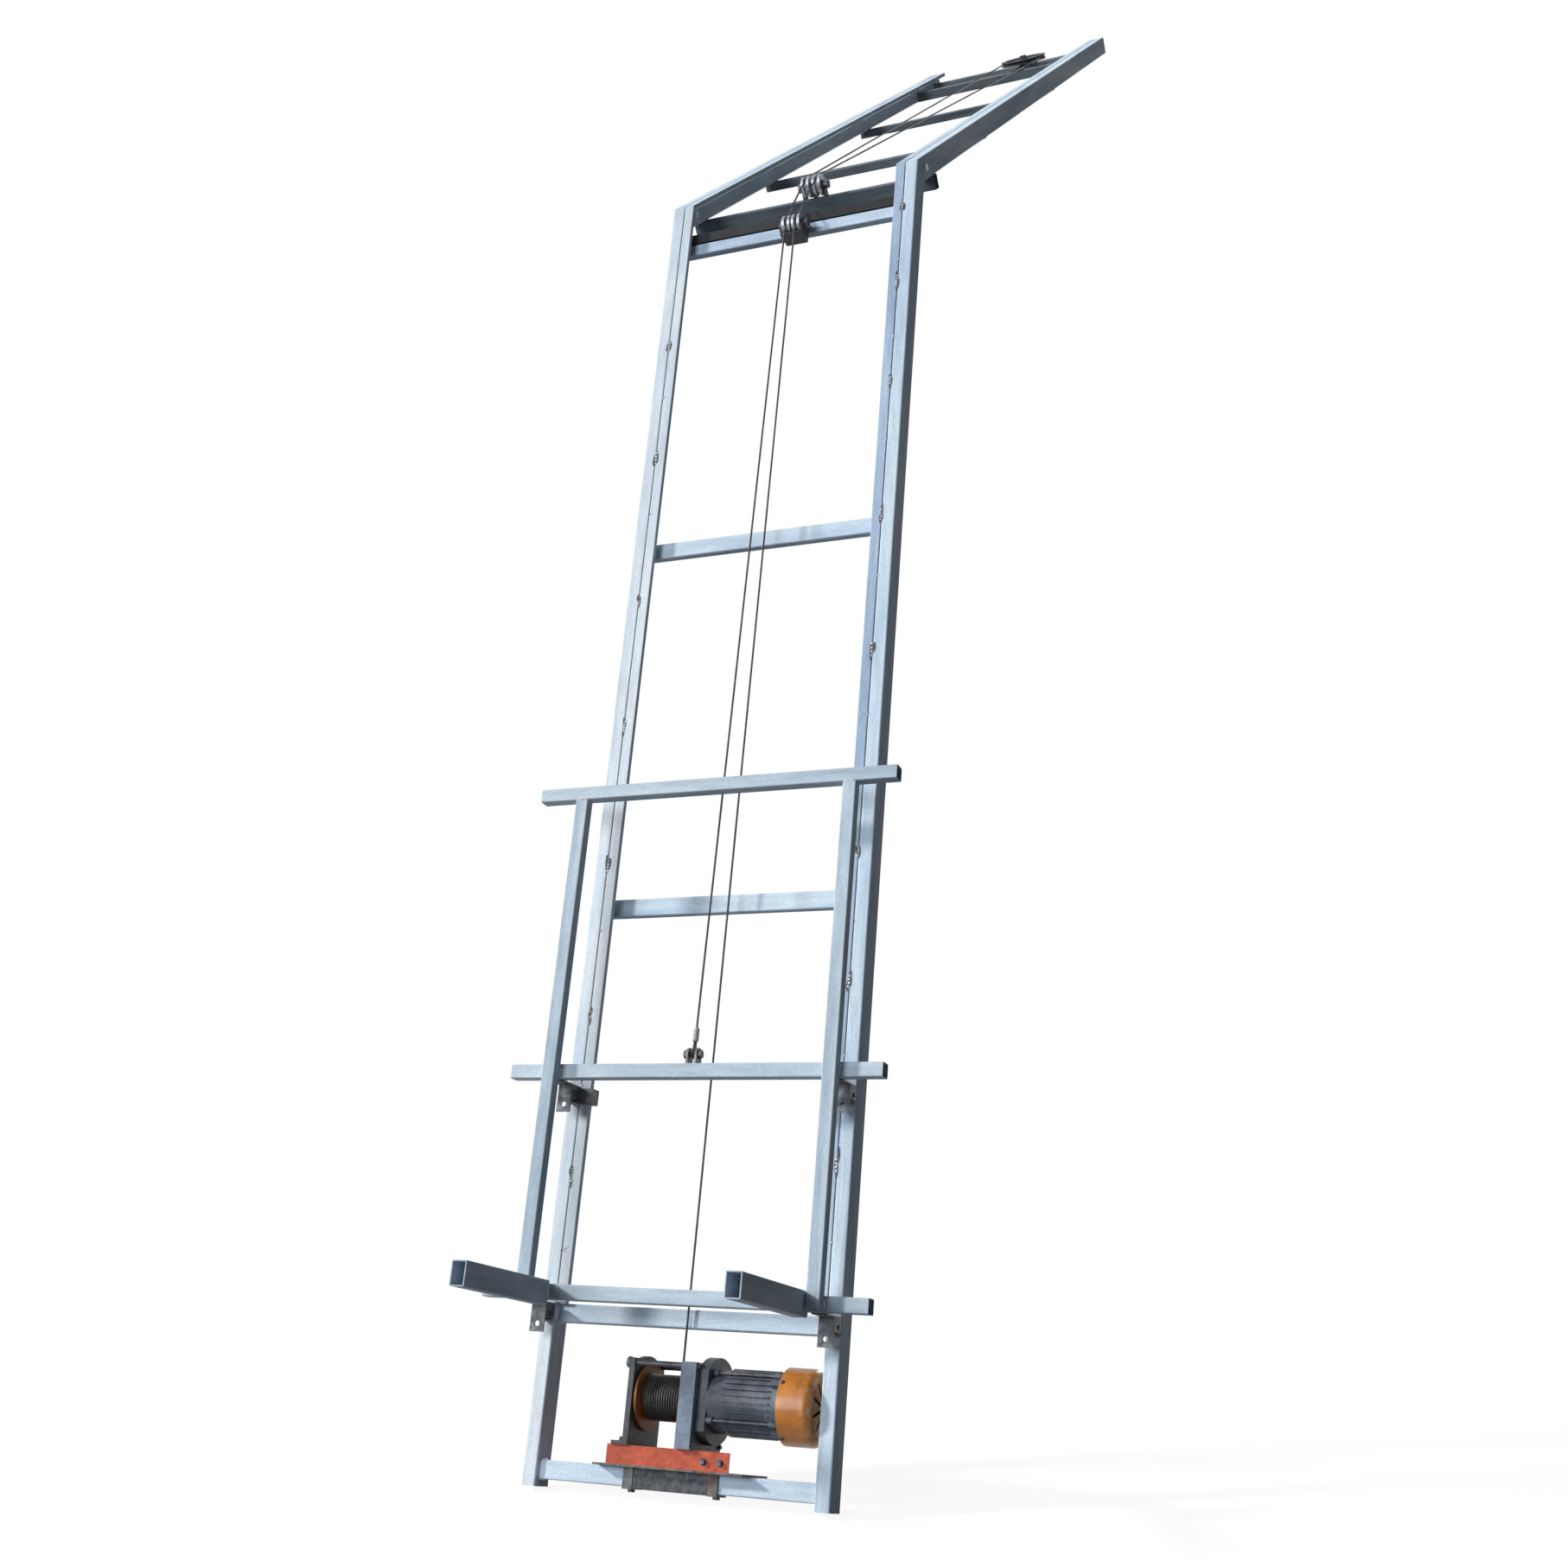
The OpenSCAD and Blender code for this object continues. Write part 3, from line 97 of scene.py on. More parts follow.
FERRULE_FORM = (
    (0.00, 0.72), (0.03, 0.92), (0.08, 1.00), (0.30, 1.00), (0.33, 0.93), (0.37, 0.93), (0.40, 1.00),
    (0.60, 1.00), (0.63, 0.93), (0.67, 0.93), (0.70, 1.00), (0.86, 0.97), (0.96, 0.74), (1.00, 0.56),
)
EYE_LEGS = 0.017
EYE_LEG_OUT = 0.0036
EYE_FLARE = 0.002
EYE_TUCK = 0.012
EYE_START = 38.0
EYE_SWEEP = 284.0
EYE_STEPS = 40
EYE_LAY = 0.6
ROPE_SMOOTH = 80.0
WIND_STEPS = 96

# Dark sheet in the seam between rail and guide strip, as painted shade
SEAM_FROM = 0.452
SEAM_TO = 3.800
ROOF_SEAM_FROM = 0.020
ROOF_SEAM_TO = 3.270
SEAM_SHADE_TOP = 0.0009
SEAM_SHADE_DEEP = 0.0040
SEAM_SHADE_IN = 0.0009
SEAM_SHADE_OUT = 0.0022

# Plate in front of the low base bar, between the two clamp straps
SKIRT_X0 = -0.107
SKIRT_X1 = 0.092
SKIRT_LOW = 0.0140
SKIRT_TOP = 0.0620
SKIRT_T = 0.004
SKIRT_EDGE = 0.0008
BASE_FRONT = 0.0124

# Bolt heads and screws, with turned forms as shares of their own (height, radius)
HEX_SIDES = 6
WASHER_T = 0.18
WASHER_SIDES = 28
WASHER_FORM = ((0.0, 1.18), (0.7, 1.18), (1.0, 1.12), (1.0, 0.60))
HEAD_FORM = ((0.00, 0.94), (0.06, 1.00), (0.82, 1.00), (1.00, 0.84), (1.00, 0.30))
SCREW_FORM = ((0.00, 1.00), (0.35, 1.00), (0.70, 0.86), (0.94, 0.55), (1.00, 0.20))
SCREW_SIDES = 24
SLOT_HALF = 0.72
SLOT_WIDE = 0.14
SLOT_LIFTS = (0.80, 1.06)

# Weld beads
BEAD_STEP = 0.0035
BEAD_FEWEST = 6
BEAD_SIDES = 10
BEAD_END = 0.35
BEAD_SWELL = 4.0
BEAD_VALLEY = 0.84
BEAD_UNEVEN = (0.92, 0.16)
BEAD_WANDER = 0.08
BEAD_RISE = 0.62

# Winch fittings
CASE_RIGHT = 0.055
CASE_BOLTS = ((-0.080, 0.076), (0.080, 0.076), (-0.080, -0.103), (0.080, -0.103))
CASE_BOLT = (0.011, 0.006)
FOOT_BOLTS_X = (0.089, 0.133)
FOOT_BOLTS_Y = -0.020
FOOT_BOLTS_S = 0.088
FOOT_BOLT = (0.013, 0.007)
PLATE_BOLTS_X = -0.144
PLATE_BOLTS_Y = (-0.052, 0.052)
PLATE_BOLTS_S = 0.1215
PLATE_BOLT = (0.014, 0.008)
CAP_X = -0.129
CAP_T = 0.006
CAP_FORM = ((0, 0.036), (0.004, 0.036), (CAP_T, 0.034), (CAP_T, 0.0185), (0.0005, 0.0185))
CAP_SIDES = 48
CAP_BOLTS = 4
CAP_BOLTS_FROM = 45.0
CAP_BOLTS_R = 0.028
CAP_BOLT = (0.008, 0.004)
RIBS = 32
RIBS_FROM = 5.6
RIB_X = (0.261, 0.2655)
RIB_LOW_R = 0.066
RIB_TOP_R = 0.0735
RIB_HALF = 0.002
COVER_SCREWS = (55, 145, 235, 325)
COVER_SCREWS_X = 0.276
COVER_SCREWS_R = 0.0899
COVER_SCREW = (0.0055, 0.0032)

# Stage
FLOOR_HALF = 40.0
FLOOR_GAP = 0.0005
FLOOR_GREYS = (0.15, 0.17)
FLOOR_LIFT = 0.90
AMBIENT = 0.045
AMBIENT_TINT = (0.84, 0.93, 1.0, 1.0)

# Lamps, with headings in track directions
KEY_ENERGY = 3.0
KEY_SPREAD = 6.0
KEY_COLOUR = (1.0, 0.985, 0.96)
KEY_HEADING = (0.80, 0.45, -0.40)
FILL_ENERGY = 1.7
FILL_SPREAD = 30.0
FILL_COLOUR = (0.86, 0.94, 1.0)
FILL_HEADING = (0.38, 0.91, -0.12)
BACK_ENERGY = 1.1
BACK_SPREAD = 10.0
BACK_HEADING = (0.06, -0.90, -0.55)

# Camera, solved from the photo
LENS = 42.18
SENSOR = 36.0
CAMERA_AT = (2.0439, -4.1397, 1.2000)
CAMERA_ACROSS = (0.92111, 0.38864, -0.02258)
CAMERA_UP = (0.06541, -0.09733, 0.99309)
CAMERA_AWAY = (0.38376, -0.91623, -0.11507)

# Tacks on the seam between rail and guide strip
SEAM_X = 0.370
TACK_IN = 0.001
TACK_W = 0.009
TACK_HALF = 0.014
TACK_MORE = 0.005
TACK_DRIFT = 0.0015
TACK_SINK = 0.0013
TACK_LUMPS = 4
TACK_SEED = 1000
LUMP_SEED = 7
LUMP_REACH = (0.60, 0.30)
LUMP_WIDE = (0.6, 0.5)
DOT_HALF = 0.004
DOT_DOWN = 0.190
BURN_T = 0.00025
BURN_W = 0.007
BURN_RIM = 0.004
DOT_BURN = 0.45
DOT_SEED = 50
BURN_POINTS = 28
BURN_WIDE = 0.30
BURN_FINE = 0.22
BURN_ROUGH = 0.20
SPATTER = 6
SPATTER_IN = 0.014
SPATTER_OUT = 0.004
SPATTER_RUN = 3.2
SPATTER_R = (0.0007, 0.0012)
SPATTER_SIDES = 8
DROP_FORM = ((-1.0, 1.0), (0.3, 1.0), (0.8, 0.5))
LEFT_TACKS = (3.298, 2.900, 2.423, 2.026, 1.612, 1.184, 0.760)
RIGHT_TACKS = (3.655, 3.386, 3.044, 2.607, 2.190, 1.610, 1.261, 0.800)

# Seams round the ends of the track's bars
BAR_END_IN = 0.001
BASE_BARS_S = (0.040, 0.415)
BASE_FACE_Y = 0.013
BASE_FACE_HALF = 0.019
BASE_EDGE = 0.0225
BASE_EDGE_Y = (0.018, 0.053)
BASE_WELD_W = 0.008
BASE_SEED = 90
CROSSBARS_S = (1.493, 2.596)
CROSS_EDGE = 0.025
CROSS_EDGE_Y = (0.036, 0.052)
CROSS_WELD_W = 0.007
CROSS_SEED = 130

# Seams of the carriage tubes
CARRIAGE_SEED = 300
POST_X = 0.390
POST_HALF = 0.0185
HEAD_SEAM_HALF = 0.015
HEAD_SEAM_Y = -0.147
HEAD_SEAM_S = 1.7505
HEAD_WELD_W = 0.008
BAR_FRONT = -0.119
POST_SEAMS_S = (1.008, 0.454)
POST_SEAM_HALF = 0.014
POST_WELD_W = 0.007
POST_SEED = 20
FORK_X = 0.3485
FORK_HALF = 0.020
FORK_SEAM_S = (0.438, 0.469)
FORK_WELD_W = 0.008
FORK_SEED = 60
EAR_FACES = ((0.009, -1), (0.015, 1))
EAR_SEAM_Y = (-0.113, -0.086)
EAR_SEAM_S = 1.0268
EAR_WELD_W = 0.006
EAR_SEED = 80


def track(x, y, s):
    """A track place in the row frame."""
    back = y - RAIL_D
    return Vector((
        x,
        back * math.cos(LEAN) + s * math.sin(LEAN),
        s * math.cos(LEAN) - back * math.sin(LEAN),
    ))


def roof(x, y, u):
    """A roof place in the row frame."""
    return track(
        x,
        y * math.cos(BEND) + u * math.sin(BEND),
        TRACK_L - y * math.sin(BEND) + u * math.cos(BEND),
    )


ORIGIN = track(0, 0, 0)
RIGHT = Vector((1, 0, 0))
BACK = track(0, 1, 0) - ORIGIN
UP = track(0, 0, 1) - ORIGIN


# Values of the materials
COVER_RUB_FROM = 0.318
COVER_RUB_TO = 0.352
COVER_RUBBED = (0.50, 0.36, 0.24)
COVER_SPECK = (0.10, 0.05, 0.02)
ZINC_STAIN = (0.16, 0.15, 0.15)
ZINC_SPECULAR = 0.02
PAINT_SPECULAR = 0.3
METAL_SPECULAR = 0.2
PAINT_SCALE = 22.0

# Material nodes


def new_material(name, metallic, roughness, specular=0.5):
    material = bpy.data.materials.new(name)
    material.use_nodes = True
    tree = material.node_tree
    shader = tree.nodes["Principled BSDF"]
    shader.inputs["Metallic"].default_value = metallic
    shader.inputs["Roughness"].default_value = roughness
    shader.inputs["Specular IOR Level"].default_value = specular
    return material, tree, shader


def place(tree, turn=0.0, stretch=(1, 1, 1)):
    """Object coordinates turned about x, then stretched along the turned axes."""
    source = tree.nodes.new("ShaderNodeTexCoord")
    mapping = tree.nodes.new("ShaderNodeMapping")
    mapping.vector_type = "TEXTURE"
    mapping.inputs["Rotation"].default_value = (-turn, 0, 0)
    mapping.inputs["Scale"].default_value = stretch
    tree.links.new(source.outputs["Object"], mapping.inputs["Vector"])
    return mapping.outputs["Vector"]


def across_object(tree):
    """The object's own x."""
    source = tree.nodes.new("ShaderNodeTexCoord")
    apart = tree.nodes.new("ShaderNodeSeparateXYZ")
    tree.links.new(source.outputs["Object"], apart.inputs["Vector"])
    return apart.outputs["X"]


def noise(tree, where, scale, detail=4.0, roughness=0.55, distortion=0.0):
    node = tree.nodes.new("ShaderNodeTexNoise")
    node.inputs["Scale"].default_value = scale
    node.inputs["Detail"].default_value = detail
    node.inputs["Roughness"].default_value = roughness
    node.inputs["Distortion"].default_value = distortion
    tree.links.new(where, node.inputs["Vector"])
    return node.outputs["Fac"]


def cells(tree, where, scale):
    node = tree.nodes.new("ShaderNodeTexVoronoi")
    node.inputs["Scale"].default_value = scale
    tree.links.new(where, node.inputs["Vector"])
    return node.outputs["Distance"]


def ramp(tree, value, stops):
    node = tree.nodes.new("ShaderNodeValToRGB")
    points = node.color_ramp.elements
    while len(points) < len(stops):
        points.new(0.5)
    for point, (at, colour) in zip(points, stops):
        point.position = at
        point.color = (*colour, 1.0)
    tree.links.new(value, node.inputs["Fac"])
    return node.outputs["Color"]


def grey(level):
    return (level, level, level)


def mix(tree, share, first, second, kind="MIX"):
    node = tree.nodes.new("ShaderNodeMix")
    node.data_type = "RGBA"
    node.blend_type = kind
    for socket, value in ((node.inputs[0], share), (node.inputs[6], first), (node.inputs[7], second)):
        if isinstance(value, bpy.types.NodeSocket):
            tree.links.new(value, socket)
        elif isinstance(value, tuple):
            socket.default_value = (*value, 1.0)
        else:
            socket.default_value = value
    return node.outputs[2]


def shaded(tree, share, colour, value, dark_at, dark, clear_at):
    """A colour, darkened where a value is low."""
    veil = ramp(tree, value, ((dark_at, grey(dark)), (clear_at, grey(1.0))))
    return mix(tree, share, colour, veil, "MULTIPLY")


def mask(tree, value, start, end, most):
    """Zero below the start of a value, rising to its most at the end."""
    return ramp(tree, value, ((start, grey(0.0)), (end, grey(most))))


def levels(tree, value, low, high):
    node = tree.nodes.new("ShaderNodeMapRange")
    node.inputs["To Min"].default_value = low
    node.inputs["To Max"].default_value = high
    tree.links.new(value, node.inputs["Value"])
    return node.outputs["Result"]


def bump(tree, shader, height, strength, distance):
    node = tree.nodes.new("ShaderNodeBump")
    node.inputs["Strength"].default_value = strength
    node.inputs["Distance"].default_value = distance
    tree.links.new(height, node.inputs["Height"])
    tree.links.new(node.outputs["Normal"], shader.inputs["Normal"])


# Materials


def right_half_shade_mask(tree):
    """One right of the object's middle, zero left of it, to lay a painted-shade tone on the right half."""
    step = tree.nodes.new("ShaderNodeMath")
    step.operation = "GREATER_THAN"
    step.inputs[1].default_value = 0.0
    tree.links.new(across_object(tree), step.inputs[0])
    return step.outputs[0]


def zinc_tones(tree, clouds, tones):
    """Cloudy colour from three tones."""
    deep, middle, bright = tones
    return ramp(tree, clouds, ((0.30, deep), (0.50, middle), (0.70, bright)))


def zinc_coat(name, turn, stretch, tones, right_shade_tones=None):
    """Hot-dip zinc: clouds, spangle, streaks along the tube and a few stains; given right tones, the
    object's right half takes them as painted shade.
    """
    material, tree, shader = new_material(name, metallic=0.0, roughness=0.5, specular=ZINC_SPECULAR)
    along = place(tree, turn, stretch)
    plain = place(tree)
    clouds = noise(tree, along, scale=9.0, detail=6.0, roughness=0.60, distortion=0.6)
    colour = zinc_tones(tree, clouds, tones)
    # Painted shade: the object's right half takes the darker tones
    if right_shade_tones:
        colour = mix(tree, right_half_shade_mask(tree), colour, zinc_tones(tree, clouds, right_shade_tones))
    spangle = cells(tree, plain, scale=130.0)
    colour = shaded(tree, 0.25, colour, spangle, dark_at=0.15, dark=0.60, clear_at=0.75)
    streaks = noise(tree, along, scale=60.0, detail=3.0, roughness=0.5)
    colour = shaded(tree, 0.30, colour, streaks, dark_at=0.35, dark=0.62, clear_at=0.60)
    stains = noise(tree, along, scale=4.0, detail=8.0, roughness=0.72, distortion=1.2)
    colour = mix(tree, mask(tree, stains, start=0.61, end=0.74, most=0.55), colour, ZINC_STAIN)
    tree.links.new(colour, shader.inputs["Base Color"])
    tree.links.new(levels(tree, clouds, low=0.62, high=0.38), shader.inputs["Roughness"])
    bump(tree, shader, noise(tree, plain, scale=260.0, detail=3.0), strength=0.10, distance=0.001)
    return material


def paint(name, deep, middle, bright, roughness, chip=None, chip_from=0.66):
    """Workshop paint with uneven tone, fine orange peel and chips."""
    material, tree, shader = new_material(name, 0.0, roughness, PAINT_SPECULAR)
    plain = place(tree)
    tone = noise(tree, plain, scale=PAINT_SCALE, detail=6.0, roughness=0.60, distortion=0.3)
    colour = ramp(tree, tone, ((0.30, deep), (0.50, middle), (0.72, bright)))
    grime = noise(tree, plain, scale=PAINT_SCALE * 3.7, detail=5.0, roughness=0.65)
    colour = shaded(tree, 0.45, colour, grime, dark_at=0.32, dark=0.45, clear_at=0.60)
    if chip:
        flakes = noise(tree, plain, scale=PAINT_SCALE * 2.4, detail=8.0, roughness=0.72, distortion=0.4)
        chipped = mask(tree, flakes, start=chip_from, end=chip_from + 0.03, most=0.9)
        colour = mix(tree, chipped, colour, chip)
    tree.links.new(colour, shader.inputs["Base Color"])
    uneven = levels(tree, grime, low=roughness + 0.15, high=roughness - 0.10)
    tree.links.new(uneven, shader.inputs["Roughness"])
    bump(tree, shader, noise(tree, plain, scale=420.0, detail=3.0), strength=0.15, distance=0.0006)
    return material


def bare_metal(name, deep, bright, roughness, metallic, scale, rust=None, rust_from=None):
    """Plated or bare steel with handling marks and, where given, rust."""
    material, tree, shader = new_material(name, metallic, roughness, METAL_SPECULAR)
    plain = place(tree)
    marks = noise(tree, plain, scale=scale, detail=6.0, roughness=0.65, distortion=0.5)
    colour = ramp(tree, marks, ((0.30, deep), (0.68, bright)))
    if rust:
        patches = noise(tree, plain, scale=scale * 0.45, detail=7.0, roughness=0.70, distortion=0.8)
        rusted = mask(tree, patches, start=rust_from - 0.10, end=rust_from, most=0.9)
        colour = mix(tree, rusted, colour, rust)
    tree.links.new(colour, shader.inputs["Base Color"])
    uneven = levels(tree, marks, low=roughness + 0.15, high=roughness - 0.12)
    tree.links.new(uneven, shader.inputs["Roughness"])
    bump(tree, shader, noise(tree, plain, scale=scale * 9.0, detail=3.0), strength=0.15, distance=0.0005)
    return material


def rope_steel():
    """Greased wire rope: fine wires across the strands and a dull dark film."""
    material, tree, shader = new_material("rope_steel", metallic=0.55, roughness=0.55)
    plain = place(tree)
    film = noise(tree, plain, scale=45.0, detail=5.0, roughness=0.65)
    colour = ramp(tree, film, ((0.30, (0.022, 0.020, 0.019)), (0.62, (0.075, 0.072, 0.070))))
    wires = noise(tree, plain, scale=900.0, detail=2.0)
    colour = shaded(tree, 0.6, colour, wires, dark_at=0.35, dark=0.5, clear_at=0.65)
    tree.links.new(colour, shader.inputs["Base Color"])
    bump(tree, shader, wires, strength=0.35, distance=0.0004)
    return material


def worn_sheave():
    """Pale cast sheave, polished dark where the rope runs."""
    material, tree, shader = new_material("sheave_cast", metallic=0.55, roughness=0.42)
    plain = place(tree)
    tone = noise(tree, plain, scale=70.0, detail=6.0, roughness=0.65)
    colour = ramp(tree, tone, ((0.30, (0.22, 0.235, 0.26)), (0.66, (0.52, 0.55, 0.59))))
    grease = noise(tree, plain, scale=150.0, detail=5.0, roughness=0.7)
    colour = shaded(tree, 0.5, colour, grease, dark_at=0.36, dark=0.35, clear_at=0.58)
    tree.links.new(colour, shader.inputs["Base Color"])
    bump(tree, shader, noise(tree, plain, scale=500.0), strength=0.15, distance=0.0005)
    return material


def fan_cover_paint():
    """Orange enamel, rubbed pale round the edge of its end."""
    material, tree, shader = new_material("fan_cover_orange", metallic=0.0, roughness=0.38)
    shader.inputs["Coat Weight"].default_value = 0.15
    plain = place(tree)
    tone = noise(tree, plain, scale=20.0, detail=6.0, roughness=0.60, distortion=0.4)
    colour = ramp(tree, tone, (
        (0.30, (0.28, 0.090, 0.005)), (0.50, (0.45, 0.145, 0.007)), (0.72, (0.58, 0.200, 0.012)),
    ))
    end = tree.nodes.new("ShaderNodeMapRange")
    end.inputs["From Min"].default_value = COVER_RUB_FROM
    end.inputs["From Max"].default_value = COVER_RUB_TO
    tree.links.new(across_object(tree), end.inputs["Value"])
    scuffs = noise(tree, plain, scale=75.0, detail=7.0, roughness=0.72, distortion=0.6)
    patches = mask(tree, scuffs, start=0.50, end=0.60, most=0.8)
    rubbed = mix(tree, 1.0, end.outputs["Result"], patches, "MULTIPLY")
    colour = mix(tree, rubbed, colour, COVER_RUBBED)
    specks = noise(tree, plain, scale=160.0, detail=4.0, roughness=0.6)
    colour = mix(tree, mask(tree, specks, start=0.70, end=0.74, most=0.8), colour, COVER_SPECK)
    tree.links.new(colour, shader.inputs["Base Color"])
    tree.links.new(levels(tree, scuffs, low=0.28, high=0.52), shader.inputs["Roughness"])
    bump(tree, shader, noise(tree, plain, scale=380.0, detail=3.0), strength=0.12, distance=0.0006)
    return material


CROSS_STRETCH = (7, 1, 1)
TRACK_STRETCH = (1, 1, 7)
FORK_STRETCH = (1, 7, 1)
ZINC = ((0.50, 0.62, 0.78), (0.68, 0.80, 0.93), (0.82, 0.90, 0.97))
# Paler zinc tone, painted light: the left rail and left guide strip drawn brighter than the rest of the
# zinc
PAINTED_LIGHT_ZINC = ((0.66, 0.74, 0.84), (0.80, 0.87, 0.94), (0.90, 0.94, 0.98))
# Darker zinc tone, painted shade for the right guide strip
PAINTED_SHADE_ZINC = ((0.34, 0.44, 0.60), (0.48, 0.60, 0.77), (0.64, 0.74, 0.88))
CARRIAGE_ZINC = ((0.42, 0.51, 0.60), (0.57, 0.67, 0.77), (0.72, 0.80, 0.87))
# Dark zinc tone, painted shade for the roof and knee crossbars seen from below
PAINTED_SHADE_CROSS_ZINC = ((0.10, 0.12, 0.14), (0.19, 0.22, 0.25), (0.33, 0.37, 0.41))
RUST = (0.16, 0.065, 0.025)
BURNT = (0.12, 0.08, 0.06)

LOOKS = {
    "zinc_track": zinc_coat("zinc_track", LEAN, TRACK_STRETCH, ZINC),
    # Left rail: zinc in a paler tone of painted light
    "painted_light_track": zinc_coat("painted_light_track", LEAN, TRACK_STRETCH, PAINTED_LIGHT_ZINC),
    # Guide strips: painted light on the left strip, painted shade on the right one
    "strips_painted_light_and_shade": zinc_coat("strips_painted_light_and_shade", LEAN, TRACK_STRETCH, PAINTED_LIGHT_ZINC, PAINTED_SHADE_ZINC),
    "zinc_roof": zinc_coat("zinc_roof", LEAN + BEND, TRACK_STRETCH, ZINC),
    "zinc_cross": zinc_coat("zinc_cross", LEAN, CROSS_STRETCH, ZINC),
    "carriage_up": zinc_coat("carriage_up", LEAN, TRACK_STRETCH, CARRIAGE_ZINC),
    "carriage_cross": zinc_coat("carriage_cross", LEAN, CROSS_STRETCH, CARRIAGE_ZINC),
    "carriage_fork": zinc_coat("carriage_fork", LEAN, FORK_STRETCH, CARRIAGE_ZINC),
    # Roof and knee crossbars: zinc darkened as painted shade
    "painted_shade_cross": zinc_coat("painted_shade_cross", LEAN + BEND, CROSS_STRETCH, PAINTED_SHADE_CROSS_ZINC),
    "black_bar": bare_metal(
        "black_bar", deep=(0.006, 0.007, 0.009), bright=(0.020, 0.023, 0.028),
        roughness=0.55, metallic=0.0, scale=18.0, rust=RUST, rust_from=0.80,
    ),
    "bracket_steel": bare_metal(
        "bracket_steel", deep=(0.045, 0.046, 0.050), bright=(0.15, 0.155, 0.165),
        roughness=0.5, metallic=0.5, scale=50.0, rust=RUST, rust_from=0.70,
    ),
    "plated": bare_metal(
        "plated", deep=(0.20, 0.21, 0.22), bright=(0.52, 0.54, 0.56),
        roughness=0.42, metallic=0.4, scale=80.0, rust=RUST, rust_from=0.74,
    ),
    "yoke_steel": bare_metal(
        "yoke_steel", deep=(0.022, 0.023, 0.026), bright=(0.10, 0.105, 0.115),
        roughness=0.5, metallic=0.1, scale=60.0, rust=RUST, rust_from=0.72,
    ),
    "dark_bolt": bare_metal(
        "dark_bolt", deep=(0.035, 0.035, 0.040), bright=(0.14, 0.14, 0.15),
        roughness=0.42, metallic=0.4, scale=90.0, rust=RUST, rust_from=0.68,
    ),
    "weld": bare_metal(
        "weld", deep=(0.34, 0.36, 0.39), bright=(0.86, 0.90, 0.94),
        roughness=0.40, metallic=0.1, scale=160.0, rust=BURNT, rust_from=0.66,
    ),
    "burnt": bare_metal(
        "burnt", deep=(0.018, 0.018, 0.021), bright=(0.15, 0.16, 0.18),
        roughness=0.6, metallic=0.0, scale=150.0, rust=BURNT, rust_from=0.64,
    ),
    "ferrule": bare_metal(
        "ferrule", deep=(0.22, 0.22, 0.225), bright=(0.56, 0.57, 0.58),
        roughness=0.40, metallic=0.1, scale=140.0,
    ),
    "ear_steel": bare_metal(
        "ear_steel", deep=(0.085, 0.088, 0.080), bright=(0.27, 0.275, 0.26),
        roughness=0.45, metallic=0.2, scale=70.0, rust=RUST, rust_from=0.72,
    ),
    "rope": rope_steel(),
    "sheave": worn_sheave(),
    "seat": bare_metal(
        "seat", deep=(0.055, 0.050, 0.048), bright=(0.21, 0.205, 0.20),
        roughness=0.55, metallic=0.1, scale=40.0, rust=RUST, rust_from=0.62,
    ),
    "red_base": paint(
        "red_base", deep=(0.36, 0.045, 0.014), middle=(0.53, 0.075, 0.024), bright=(0.65, 0.115, 0.040),
        roughness=0.5, chip=(0.09, 0.045, 0.03),
    ),
    "end_grey": paint(
        "end_grey", deep=(0.035, 0.036, 0.038), middle=(0.065, 0.067, 0.070), bright=(0.12, 0.122, 0.125),
        roughness=0.5, chip=(0.20, 0.19, 0.18),
    ),
    "gear_blue": paint(
        "gear_blue", deep=(0.11, 0.14, 0.19), middle=(0.17, 0.215, 0.29), bright=(0.26, 0.31, 0.39),
        roughness=0.42, chip=(0.08, 0.08, 0.085), chip_from=0.70,
    ),
    "cover_grey": paint(
        "cover_grey", deep=(0.045, 0.048, 0.052), middle=(0.080, 0.085, 0.092), bright=(0.14, 0.145, 0.15),
        roughness=0.45, chip=(0.20, 0.15, 0.11), chip_from=0.70,
    ),
    "motor_grey": paint(
        "motor_grey", deep=(0.055, 0.063, 0.080), middle=(0.100, 0.113, 0.140), bright=(0.17, 0.185, 0.22),
        roughness=0.42, chip=(0.05, 0.05, 0.055), chip_from=0.70,
    ),
    "drum_orange": paint(
        "drum_orange", deep=(0.22, 0.075, 0.015), middle=(0.34, 0.120, 0.022), bright=(0.44, 0.170, 0.040),
        roughness=0.5, chip=(0.06, 0.035, 0.02), chip_from=0.62,
    ),
    "fan_cover": fan_cover_paint(),
    "gear_steel": bare_metal(
        "gear_steel", deep=(0.20, 0.20, 0.21), bright=(0.50, 0.50, 0.51),
        roughness=0.30, metallic=0.9, scale=70.0,
    ),
    "stator": bare_metal(
        "stator", deep=(0.18, 0.08, 0.035), bright=(0.46, 0.22, 0.10),
        roughness=0.45, metallic=0.6, scale=120.0,
    ),
    "roller": paint(
        "roller", deep=(0.010, 0.010, 0.011), middle=(0.022, 0.022, 0.023), bright=(0.045, 0.045, 0.045),
        roughness=0.55,
    ),
    "fan": paint(
        "fan", deep=(0.018, 0.018, 0.019), middle=(0.035, 0.035, 0.036), bright=(0.060, 0.060, 0.060),
        roughness=0.5,
    ),
}

